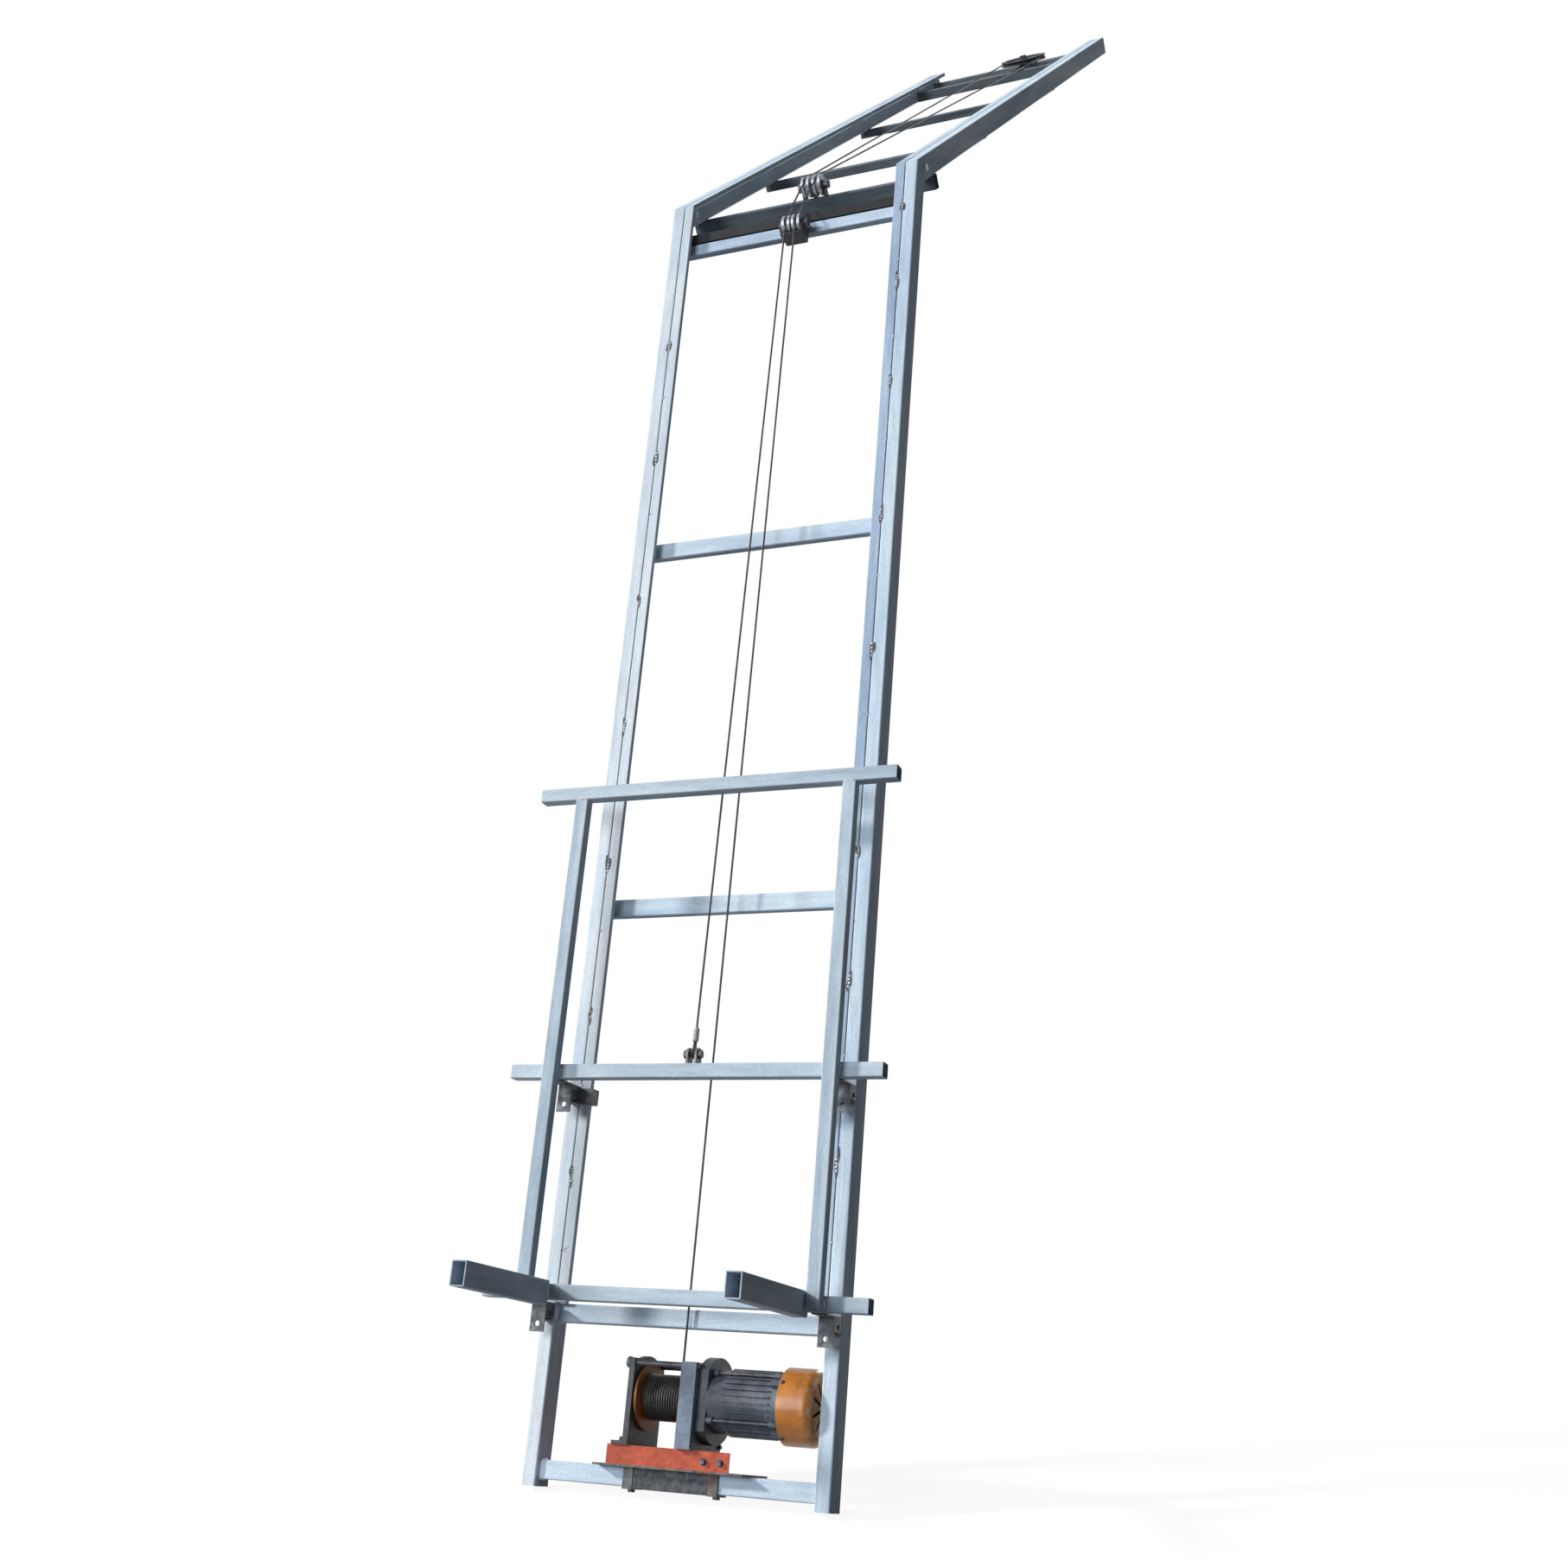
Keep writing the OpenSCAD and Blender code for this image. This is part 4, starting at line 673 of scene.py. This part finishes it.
NODE_LOOKS = {
    "zinc_track": ("right_rail",),
    "strips_painted_light_and_shade": ("guide_strips",),
    "painted_light_track": ("left_rail",),
    "zinc_roof": ("left_roof_rail", "right_roof_rail", "roof_strips", "knee_sleeves"),
    "zinc_cross": ("base_bar_low", "base_bar_top", "crossbars", "top_crossbar"),
    "painted_shade_cross": ("knee_crossbar", "roof_bar_low", "roof_bar_mid", "roof_bar_inner", "roof_bar_outer"),
    "black_bar": ("tie_bar",),
    "carriage_up": ("uprights",),
    "carriage_cross": ("head_bar", "middle_bar", "lower_bar"),
    "carriage_fork": ("forks",),
    "plated": ("knee_bolts",),
    "ear_steel": ("clevis",),
    "yoke_steel": ("lower_yoke", "upper_yoke", "return_bracket", "return_sheave"),
    "dark_bolt": (
        "lower_pin", "upper_pin", "return_pin", "clevis_bolt", "roller_axles", "tie_rods", "motor_bolts",
    ),
    "bracket_steel": ("lower_brackets", "upper_brackets"),
    "ferrule": ("rope_eye",),
    "rope": ("running_rope", "carriage_rope", "rope_winding"),
    "sheave": ("lower_sheave_in", "lower_sheave_out", "upper_sheave_in", "upper_sheave_out"),
    "seat": ("winch_seat",),
    "red_base": ("winch_foot",),
    "end_grey": ("end_plate",),
    "gear_blue": ("gear_case",),
    "cover_grey": ("gear_cover",),
    "motor_grey": ("motor_shell",),
    "fan_cover": ("fan_cover",),
    "drum_orange": ("drum",),
    "gear_steel": ("drum_gear", "countershaft", "rotor"),
    "stator": ("stator",),
    "fan": ("fan",),
    "roller": ("lower_rollers", "upper_rollers"),
}


def dress_nodes():
    """Gives each CAD node its look."""
    for look, nodes in NODE_LOOKS.items():
        for node in nodes:
            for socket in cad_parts[node].material_slots:
                socket.material = LOOKS[look]


# Mesh building

SQUARE = ((-1, -1), (1, -1), (1, 1), (-1, 1))
NEAR_RIGHT = 0.9
SMOOTH = 35.0


def side_axes(direction):
    """Two directions square to a direction."""
    reference = RIGHT if abs(direction.normalized().x) < NEAR_RIGHT else UP
    first = direction.cross(reference).normalized()
    return first, direction.cross(first).normalized()


def scaled(form, height, radius, base=0.0):
    """A turned form at its real size, above a base."""
    return [(base + height * h, radius * r) for h, r in form]


def drawn(least_and_more, chance):
    """A least value plus a random share of a further amount."""
    least, more = least_and_more
    return least + more * chance.random()


class Shape:
    """A mesh that grows from lofts and becomes one piece."""

    def __init__(self):
        self.points = []
        self.faces = []

    def loft(self, rings):
        """Skin over rings of equal count, with capped ends."""
        base = len(self.points)
        count = len(rings[0])
        for one in rings:
            self.points.extend(one)
        for i in range(len(rings) - 1):
            low = base + i * count
            for k in range(count):
                after = (k + 1) % count
                self.faces.append((low + k, low + after, low + count + after, low + count + k))
        self.faces.append(tuple(base + k for k in reversed(range(count))))
        last = base + (len(rings) - 1) * count
        self.faces.append(tuple(last + k for k in range(count)))

    def lathe(self, at, direction, profile, count):
        """Turned form from (height, radius) places along a direction."""
        axis = direction.normalized()
        first, second = side_axes(axis)
        rings = []
        for height, radius in profile:
            centre = at + axis * height
            rings.append([
                centre + radius * (math.cos(a) * first + math.sin(a) * second)
                for a in (2 * math.pi * k / count for k in range(count))
            ])
        self.loft(rings)

    def hex_head(self, at, direction, across, height):
        """Chamfered hexagon head, on a washer that sits on the surface at a place."""
        radius = across / math.sqrt(3)
        seat = WASHER_T * height
        self.lathe(at, direction, scaled(WASHER_FORM, seat, radius), WASHER_SIDES)
        self.lathe(at, direction, scaled(HEAD_FORM, height, radius, seat), HEX_SIDES)

    def slot_screw(self, at, direction, radius, height):
        """Domed pan head with a driver slot."""
        axis = direction.normalized()
        first, second = side_axes(axis)
        self.lathe(at, direction, scaled(SCREW_FORM, height, radius), SCREW_SIDES)
        half = SLOT_HALF * radius
        wide = SLOT_WIDE * radius
        rings = []
        for lift in SLOT_LIFTS:
            centre = at + axis * (lift * height)
            rings.append([centre + first * half * a + second * wide * b for a, b in SQUARE])
        self.loft(rings)

    def bead(self, start, end, out, width, seed):
        """Rippled weld bead along a line, standing out of a corner."""
        along = end - start
        length = along.length
        along = along / length
        side = along.cross(out).normalized()
        steps = max(BEAD_FEWEST, int(length / BEAD_STEP))
        chance = random.Random(seed)
        rings = []
        for i in range(steps + 1):
            share = i / steps
            taper = min(1.0, BEAD_END + BEAD_SWELL * min(share, 1 - share))
            ripple = 1.0 if i % 2 else BEAD_VALLEY
            half = width / 2 * taper * ripple * drawn(BEAD_UNEVEN, chance)
            wander = side * (width * BEAD_WANDER * (chance.random() - 0.5))
            centre = start + along * (length * share) + wander
            rings.append([
                centre + side * half * math.cos(a) + out * half * BEAD_RISE * math.sin(a)
                for a in (2 * math.pi * k / BEAD_SIDES for k in range(BEAD_SIDES))
            ])
        self.loft(rings)

    def rope(self, path, radius, lay):
        """Laid strands along a path."""
        points = resample(path, lay / RINGS_PER_LAY)
        count = STRANDS * len(STRAND_FORM)
        heading = (points[1] - points[0]).normalized()
        first, second = side_axes(heading)
        run = 0.0
        rings = []
        for i, point in enumerate(points):
            before = points[max(i - 1, 0)]
            after = points[min(i + 1, len(points) - 1)]
            heading = (after - before).normalized()
            first = (first - heading * first.dot(heading)).normalized()
            second = heading.cross(first)
            run += (point - points[i - 1]).length if i else 0.0
            twist = 2 * math.pi * run / lay
            ring = []
            for k in range(count):
                a = 2 * math.pi * k / count + twist
                reach = radius * STRAND_FORM[k % len(STRAND_FORM)]
                ring.append(point + reach * (math.cos(a) * first + math.sin(a) * second))
            rings.append(ring)
        self.loft(rings)

    def piece(self, name, look, body, smooth=SMOOTH):
        """The finished object, on its body and with its finish."""
        mesh = bpy.data.meshes.new(name)
        mesh.from_pydata([tuple(p) for p in self.points], [], self.faces)
        form = bmesh.new()
        form.from_mesh(mesh)
        bmesh.ops.recalc_face_normals(form, faces=form.faces)
        form.to_mesh(mesh)
        form.free()
        mesh.shade_smooth()
        mesh.set_sharp_from_angle(angle=math.radians(smooth))
        mesh.materials.append(LOOKS[look])
        obj = bpy.data.objects.new(name, mesh)
        bpy.context.scene.collection.objects.link(obj)
        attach(obj, body)
        return obj


def resample(path, step):
    """Even steps along a line of points."""
    lengths = [0.0]
    for a, b in zip(path, path[1:]):
        lengths.append(lengths[-1] + (b - a).length)
    count = max(2, round(lengths[-1] / step))
    out = []
    j = 0
    for i in range(count + 1):
        goal = lengths[-1] * i / count
        while j < len(path) - 2 and lengths[j + 1] < goal:
            j += 1
        span = lengths[j + 1] - lengths[j]
        out.append(path[j].lerp(path[j + 1], (goal - lengths[j]) / span if span else 0.0))
    return out


# Rope


def tilt(dy, ds):
    """Angle of a direction in the track's side plane: zero up the track, growing away from the front."""
    return math.atan2(dy, ds)


LOWER_C = (LOWER_Y, LOWER_S)
UPPER_C = (
    UPPER_Y * math.cos(BEND) + UPPER_U * math.sin(BEND),
    TRACK_L - UPPER_Y * math.sin(BEND) + UPPER_U * math.cos(BEND),
)
DRUM_RUN = math.hypot(LOWER_Y - DRUM_Y, LOWER_S - DRUM_S)
EYE_RUN = math.hypot(LOWER_Y - EYE_Y, LOWER_S - EYE_S)
BLOCK_TILT = tilt(UPPER_C[0] - LOWER_C[0], UPPER_C[1] - LOWER_C[1])
WINCH_TILT = tilt(LOWER_Y - DRUM_Y, LOWER_S - DRUM_S) + math.asin((WIND_R - SHEAVE_R) / DRUM_RUN)
EYE_TILT = tilt(LOWER_Y - EYE_Y, LOWER_S - EYE_S) - math.asin(SHEAVE_R / EYE_RUN)


def arc(x, centre, start, end, steps=SHEAVE_STEPS):
    """Rope round the front of a block sheave, from one tilt to another."""
    out = []
    for i in range(steps + 1):
        a = start + (end - start) * i / steps
        out.append(track(x, centre[0] - SHEAVE_R * math.cos(a), centre[1] + SHEAVE_R * math.sin(a)))
    return out


def return_arc():
    """Rope round the flat return sheave."""
    run = RETURN_U - UPPER_U
    start = -math.atan((RETURN_X + RETURN_R - IN_UP_X) / run)
    end = math.pi - math.atan((RETURN_X - RETURN_R - OUT_UP_X) / run)
    out = []
    for i in range(RETURN_STEPS + 1):
        a = start + (end - start) * i / RETURN_STEPS
        out.append(roof(RETURN_X + RETURN_R * math.cos(a), ROOF_ROPE_Y, RETURN_U + RETURN_R * math.sin(a)))
    return out


def winding_point(share):
    """Place on the outer layer of rope; the last turn lies wider, clear of the rope that runs off."""
    turns = WIND_TURNS * share
    a = WINCH_TILT - 2 * math.pi * (WIND_TURNS - turns)
    last = max(0.0, turns - (WIND_TURNS - 1))
    return track(
        WIND_X0 + WIND_PITCH * (turns - last) + LAST_PITCH * last,
        DRUM_Y - WIND_R * math.cos(a),
        DRUM_S + WIND_R * math.sin(a),
    )


EYE_AT = track(0, EYE_Y, EYE_S)
EYE_TOP = arc(OUT_X, LOWER_C, EYE_TILT, EYE_TILT, 1)[0]
EYE_DIR = (EYE_TOP - EYE_AT).normalized()
ROPE_JOIN = EYE_TOP - EYE_DIR * (2 * ROPE_R)
FERRULE_END = EYE_AT + EYE_DIR * (FERRULE_FROM + FERRULE_L)
LEAD = (BACK * math.sin(WINCH_TILT) + UP * math.cos(WINCH_TILT)) * WIND_LEAD


def build_winding():
    """Outer layer of rope on the drum, which turns with it."""
    steps = WIND_STEPS * WIND_TURNS
    path = [winding_point(i / steps) for i in range(steps + 1)]
    shape = Shape()
    shape.rope([path[0] - LEAD, *path, path[-1] + LEAD], ROPE_R, ROPE_LAY)
    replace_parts(shape.piece("rope_on_drum", "rope", "drum_body", ROPE_SMOOTH), "rope_winding")


def build_running_rope():
    """Rope from the drum over the blocks and the return sheave, and back to the lower block."""
    start = winding_point(1.0) + LEAD * (1 + START_GAP / WIND_LEAD)
    path = [start]
    path += arc(IN_X, LOWER_C, WINCH_TILT, BLOCK_TILT)
    path += arc(IN_UP_X, UPPER_C, BLOCK_TILT, BEND)
    path += return_arc()
    path += arc(OUT_UP_X, UPPER_C, BEND, BLOCK_TILT)
    path += arc(OUT_X, LOWER_C, BLOCK_TILT, EYE_TILT)
    path.append(ROPE_JOIN)
    shape = Shape()
    shape.rope(path, ROPE_R, ROPE_LAY)
    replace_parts(shape.piece("rope_over_sheaves", "rope", "track", ROPE_SMOOTH), "running_rope")


def build_carriage_rope():
    """Rope from the lower block to the carriage, with a mesh of its own."""
    shape = Shape()
    shape.rope([FERRULE_END, ROPE_JOIN], ROPE_R, ROPE_LAY)
    line = shape.piece("rope_to_carriage", "rope", "track", ROPE_SMOOTH)
    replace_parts(line, "carriage_rope")
    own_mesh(line)


def build_rope_eye():
    """Loop of rope round the clevis bolt, and the pressed ferrule that closes it."""
    across = RIGHT.cross(EYE_DIR).normalized()
    sleeve_at = EYE_AT + EYE_DIR * (FERRULE_FROM + EYE_LEGS)
    leg = [
        sleeve_at + EYE_DIR * EYE_TUCK + across * EYE_LEG_OUT,
        sleeve_at + across * EYE_LEG_OUT,
        EYE_AT + EYE_DIR * FERRULE_FROM + across * (EYE_LEG_OUT + EYE_FLARE),
    ]
    other_leg = [
        EYE_AT + EYE_DIR * FERRULE_FROM - across * (EYE_LEG_OUT + EYE_FLARE),
        sleeve_at - across * EYE_LEG_OUT,
        sleeve_at + EYE_DIR * EYE_TUCK - across * EYE_LEG_OUT,
    ]
    bend = []
    for i in range(EYE_STEPS + 1):
        a = math.radians(EYE_START) + math.radians(EYE_SWEEP) * i / EYE_STEPS
        bend.append(EYE_AT + EYE_LOOP_R * (EYE_DIR * math.cos(a) + across * math.sin(a)))
    loop = Shape()
    loop.rope([*leg, *bend, *other_leg], ROPE_R, ROPE_LAY * EYE_LAY)
    loop.piece("rope_eye_loop", "rope", "carriage", ROPE_SMOOTH)
    sleeve = Shape()
    form = scaled(FERRULE_FORM, FERRULE_L - EYE_LEGS, FERRULE_R)
    sleeve.lathe(sleeve_at, EYE_DIR, form, FERRULE_SIDES)
    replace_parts(sleeve.piece("rope_ferrule", "ferrule", "carriage"), "rope_eye")


# Welds


def add_tack(shape, burn, x, s, half, lumps, seed):
    """Tack of uneven lumps on the seam beside a rail, with burnt zinc round it and spatter."""
    chance = random.Random(seed + TACK_SEED)
    side = math.copysign(1, x)
    seam = x - side * TACK_IN
    for k in range(lumps):
        middle = s + half * (2 * (k + 0.5) / lumps - 1)
        across = TACK_DRIFT * (2 * chance.random() - 1)
        turn = TACK_DRIFT * (2 * chance.random() - 1)
        reach = half / lumps * drawn(LUMP_REACH, chance)
        first = track(seam + across - turn, TACK_SINK, middle - reach)
        last = track(seam + across + turn, TACK_SINK, middle + reach)
        shape.bead(first, last, -BACK, TACK_W * drawn(LUMP_WIDE, chance), seed + LUMP_SEED * k)
    spread = 1.0 if lumps > 1 else DOT_BURN
    rim = []
    wide_turn = 2 * math.pi * chance.random()
    fine_turn = 2 * math.pi * chance.random()
    for k in range(BURN_POINTS):
        a = 2 * math.pi * k / BURN_POINTS
        reach = 1 + BURN_WIDE * math.sin(2 * a + wide_turn) + BURN_FINE * math.sin(3 * a + fine_turn)
        reach += BURN_ROUGH * (chance.random() - 0.5)
        reach *= spread
        rim.append((math.cos(a) * BURN_W * reach, math.sin(a) * (half + BURN_RIM) * reach))
    burn.loft([
        [track(x + a, y, s + b) for a, b in rim] for y in (BURN_T, -BURN_T)
    ])
    for k in range(SPATTER):
        across = SPATTER_OUT - (SPATTER_IN + SPATTER_OUT) * chance.random()
        spot = track(x + side * across, 0.0, s + SPATTER_RUN * half * (chance.random() - 0.5))
        size = drawn(SPATTER_R, chance)
        shape.lathe(spot, -BACK, scaled(DROP_FORM, size, size), SPATTER_SIDES)


def add_edge_welds(shape, x, s, half, depths, width, seed, step):
    """Beads along the upper and lower edges of a bar where it meets a rail; gives the next seed."""
    side = math.copysign(1, x)
    front, back = depths
    for edge, lift in ((s + half, UP), (s - half, -UP)):
        lean = (lift - RIGHT * side).normalized()
        shape.bead(track(x, front, edge), track(x, back, edge), lean, width, seed + step)
        seed += 1
    return seed


def build_track_welds():
    """Tacks along the seam between rail and guide strip, and seams round the ends of the bars."""
    shape = Shape()
    burn = Shape()
    seed = 1
    for side, tacks in ((-1, LEFT_TACKS), (1, RIGHT_TACKS)):
        for s in tacks:
            half = TACK_HALF + TACK_MORE * (seed % 3)
            add_tack(shape, burn, side * SEAM_X, s, half, TACK_LUMPS + seed % 2, seed)
            add_tack(shape, burn, side * SEAM_X, s - DOT_DOWN, DOT_HALF, 1, seed + DOT_SEED)
            seed += 1
        inner = side * (SEAM_X - BAR_END_IN)
        out = (-BACK - RIGHT * side).normalized()
        for s in BASE_BARS_S:
            low = track(inner, BASE_FACE_Y, s - BASE_FACE_HALF)
            top = track(inner, BASE_FACE_Y, s + BASE_FACE_HALF)
            shape.bead(low, top, out, BASE_WELD_W, seed)
            seed = add_edge_welds(shape, inner, s, BASE_EDGE, BASE_EDGE_Y, BASE_WELD_W, seed, BASE_SEED)
        for s in CROSSBARS_S:
            seed = add_edge_welds(shape, inner, s, CROSS_EDGE, CROSS_EDGE_Y, CROSS_WELD_W, seed, CROSS_SEED)
    shape.piece("track_welds", "weld", "track")
    burn.piece("burnt_zinc", "burnt", "track")


def build_seam_shade():
    """Dark sheet that fills the bottom of the seams beside the rails, as painted shade in the groove."""
    shape = Shape()
    runs = ((track, SEAM_FROM, SEAM_TO), (roof, ROOF_SEAM_FROM, ROOF_SEAM_TO))
    for side in (-1, 1):
        edges = (
            (side * (SEAM_X - SEAM_SHADE_IN), SEAM_SHADE_TOP),
            (side * (SEAM_X + SEAM_SHADE_OUT), SEAM_SHADE_TOP),
            (side * (SEAM_X + SEAM_SHADE_IN), SEAM_SHADE_DEEP),
        )
        for place_on, start, end in runs:
            shape.loft([[place_on(x, y, along) for x, y in edges] for along in (start, end)])
    # The dark sheet is painted shade in the seam's groove
    shape.piece("seam_shade", "yoke_steel", "track")


def build_carriage_welds():
    """Seams where the carriage tubes meet."""
    shape = Shape()
    seed = CARRIAGE_SEED
    for side in (-1, 1):
        post = side * POST_X
        out = (-BACK - UP).normalized()
        left = track(post - HEAD_SEAM_HALF, HEAD_SEAM_Y, HEAD_SEAM_S)
        right = track(post + HEAD_SEAM_HALF, HEAD_SEAM_Y, HEAD_SEAM_S)
        shape.bead(left, right, out, HEAD_WELD_W, seed)
        for edge in (-1, 1):
            lean = (-BACK + RIGHT * edge).normalized()
            x = post + edge * POST_HALF
            for s in POST_SEAMS_S:
                low = track(x, BAR_FRONT, s - POST_SEAM_HALF)
                top = track(x, BAR_FRONT, s + POST_SEAM_HALF)
                shape.bead(low, top, lean, POST_WELD_W, seed + POST_SEED)
                seed += 1
        inner = side * (FORK_X - FORK_HALF)
        lean = (-BACK - RIGHT * side).normalized()
        low, top = (track(inner, BAR_FRONT, s) for s in FORK_SEAM_S)
        shape.bead(low, top, lean, FORK_WELD_W, seed + FORK_SEED)
        seed += 1
        for face, way in EAR_FACES:
            lean = (UP + RIGHT * side * way).normalized()
            front, back = (track(side * face, y, EAR_SEAM_S) for y in EAR_SEAM_Y)
            shape.bead(front, back, lean, EAR_WELD_W, seed + EAR_SEED)
            seed += 1
    shape.piece("carriage_welds", "weld", "carriage")


# Winch fittings


def winch(x, turn, radius):
    """A place about the drum axis; the turn starts below the axis and goes to the back."""
    return track(x, DRUM_Y + radius * math.sin(turn), DRUM_S - radius * math.cos(turn))


def outward(turn):
    """Direction away from the drum axis at a turn."""
    return BACK * math.sin(turn) - UP * math.cos(turn)


def build_winch_bolts():
    """Bolt heads on the gear case, the winch foot and the foot of the end plate."""
    bolts = Shape()
    for y, s in CASE_BOLTS:
        bolts.hex_head(track(CASE_RIGHT, DRUM_Y + y, DRUM_S + s), RIGHT, *CASE_BOLT)
    for x in FOOT_BOLTS_X:
        bolts.hex_head(track(x, FOOT_BOLTS_Y, FOOT_BOLTS_S), -BACK, *FOOT_BOLT)
    for y in PLATE_BOLTS_Y:
        bolts.hex_head(track(PLATE_BOLTS_X, DRUM_Y + y, PLATE_BOLTS_S), UP, *PLATE_BOLT)
    bolts.piece("winch_bolts", "dark_bolt", "track")


def build_bearing_cap():
    """Cap of the drum's bearing on the end plate, with its bolts."""
    cap = Shape()
    cap.lathe(track(CAP_X, DRUM_Y, DRUM_S), -RIGHT, CAP_FORM, CAP_SIDES)
    for k in range(CAP_BOLTS):
        turn = math.radians(CAP_BOLTS_FROM + 360 / CAP_BOLTS * k)
        cap.hex_head(winch(CAP_X - CAP_T, turn, CAP_BOLTS_R), -RIGHT, *CAP_BOLT)
    cap.piece("bearing_cap", "end_grey", "track")


def build_seat_skirt():
    """Thin dark plate in front of the low base bar, under the winch."""
    skirt = Shape()
    rings = []
    for y, inset in ((0, 0), (-SKIRT_T + SKIRT_EDGE, 0), (-SKIRT_T, SKIRT_EDGE)):
        left = SKIRT_X0 + inset
        right = SKIRT_X1 - inset
        low = SKIRT_LOW + inset
        top = SKIRT_TOP - inset
        outline = ((left, low), (right, low), (right, top), (left, top))
        rings.append([track(x, BASE_FRONT + y, s) for x, s in outline])
    skirt.loft(rings)
    skirt.piece("seat_skirt", "yoke_steel", "track")


def build_end_ribs():
    """Ribs round the motor's end shield, in the gap before the fan cover."""
    ribs = Shape()
    outline = ((RIB_LOW_R, -1), (RIB_TOP_R, -1), (RIB_TOP_R, 1), (RIB_LOW_R, 1))
    for k in range(RIBS):
        turn = math.radians(360 / RIBS * k + RIBS_FROM)
        side = RIGHT.cross(outward(turn)).normalized() * RIB_HALF
        ribs.loft([[winch(x, turn, radius) + side * edge for radius, edge in outline] for x in RIB_X])
    ribs.piece("end_shield_ribs", "motor_grey", "track")


def build_cover_screws():
    """Slotted screws round the rim of the fan cover."""
    screws = Shape()
    for degrees in COVER_SCREWS:
        turn = math.radians(degrees)
        screws.slot_screw(winch(COVER_SCREWS_X, turn, COVER_SCREWS_R), outward(turn), *COVER_SCREW)
    screws.piece("fan_cover_screws", "dark_bolt", "track")


# Stage


def seen_directly(tree):
    """One for rays from the camera and their mirror and glass rays, zero for scattered light."""
    path = tree.nodes.new("ShaderNodeLightPath")
    seen = path.outputs["Is Camera Ray"]
    for other in ("Is Glossy Ray", "Is Transmission Ray"):
        most = tree.nodes.new("ShaderNodeMath")
        most.operation = "MAXIMUM"
        tree.links.new(seen, most.inputs[0])
        tree.links.new(path.outputs[other], most.inputs[1])
        seen = most.outputs[0]
    return seen


def build_floor():
    """Pale floor that is almost white to the eye and keeps the object's shadow."""
    mesh = bpy.data.meshes.new("floor")
    mesh.from_pydata([(FLOOR_HALF * x, FLOOR_HALF * y, 0) for x, y in SQUARE], [], [(0, 1, 2, 3)])
    floor = bpy.data.objects.new("floor", mesh)
    floor.location.z = -FLOOR_GAP
    bpy.context.scene.collection.objects.link(floor)
    material, tree, shader = new_material("floor_pale", metallic=0.0, roughness=0.9, specular=0.0)
    shade = noise(tree, place(tree), scale=0.7, detail=2.0)
    low, high = FLOOR_GREYS
    tree.links.new(ramp(tree, shade, ((0.3, grey(low)), (0.7, grey(high)))), shader.inputs["Base Color"])
    shader.inputs["Emission Color"].default_value = (1, 1, 1, 1)
    lift = levels(tree, seen_directly(tree), low=0.0, high=FLOOR_LIFT)
    tree.links.new(lift, shader.inputs["Emission Strength"])
    # Scattered light never sees the lift, so the floor isn't sampled as a lamp
    material.cycles.emission_sampling = "NONE"
    mesh.materials.append(material)


def build_world():
    """White backdrop to the eye, and a weak soft light on the object."""
    world = bpy.data.worlds.new("studio")
    bpy.context.scene.world = world
    world.use_nodes = True
    tree = world.node_tree
    tree.nodes.clear()
    soft = tree.nodes.new("ShaderNodeBackground")
    soft.inputs["Color"].default_value = AMBIENT_TINT
    soft.inputs["Strength"].default_value = AMBIENT
    white = tree.nodes.new("ShaderNodeBackground")
    white.inputs["Color"].default_value = (1, 1, 1, 1)
    white.inputs["Strength"].default_value = 1.0
    choose = tree.nodes.new("ShaderNodeMixShader")
    out = tree.nodes.new("ShaderNodeOutputWorld")
    tree.links.new(seen_directly(tree), choose.inputs[0])
    tree.links.new(soft.outputs[0], choose.inputs[1])
    tree.links.new(white.outputs[0], choose.inputs[2])
    tree.links.new(choose.outputs[0], out.inputs["Surface"])


def build_lamp(name, energy, spread, colour, heading):
    """Distant soft lamp that shines along a heading given in track directions."""
    lamp = bpy.data.lights.new(name, "SUN")
    lamp.energy = energy
    lamp.angle = math.radians(spread)
    lamp.color = colour
    across, back, up = heading
    aim = RIGHT * across + BACK * back + UP * up
    obj = bpy.data.objects.new(name, lamp)
    obj.rotation_euler = aim.to_track_quat("-Z", "Y").to_euler()
    bpy.context.scene.collection.objects.link(obj)


def build_lights():
    build_lamp("key", KEY_ENERGY, KEY_SPREAD, KEY_COLOUR, KEY_HEADING)
    build_lamp("front_fill", FILL_ENERGY, FILL_SPREAD, FILL_COLOUR, FILL_HEADING)
    build_lamp("back_fill", BACK_ENERGY, BACK_SPREAD, FILL_COLOUR, BACK_HEADING)


def build_camera():
    data = bpy.data.cameras.new("camera")
    data.sensor_width = SENSOR
    data.sensor_fit = "HORIZONTAL"
    data.lens = LENS
    camera = bpy.data.objects.new("camera", data)
    turn = Matrix((CAMERA_ACROSS, CAMERA_UP, CAMERA_AWAY)).transposed().to_4x4()
    camera.matrix_world = Matrix.Translation(CAMERA_AT) @ turn
    bpy.context.scene.collection.objects.link(camera)
    bpy.context.scene.camera = camera


build_camera()
build_floor()
build_world()
build_lights()
bpy.context.scene.view_settings.view_transform = "Standard"

dress_nodes()
build_winding()
build_running_rope()
build_carriage_rope()
build_rope_eye()
build_track_welds()
build_seam_shade()
build_carriage_welds()
build_winch_bolts()
build_bearing_cap()
build_seat_skirt()
build_end_ribs()
build_cover_screws()
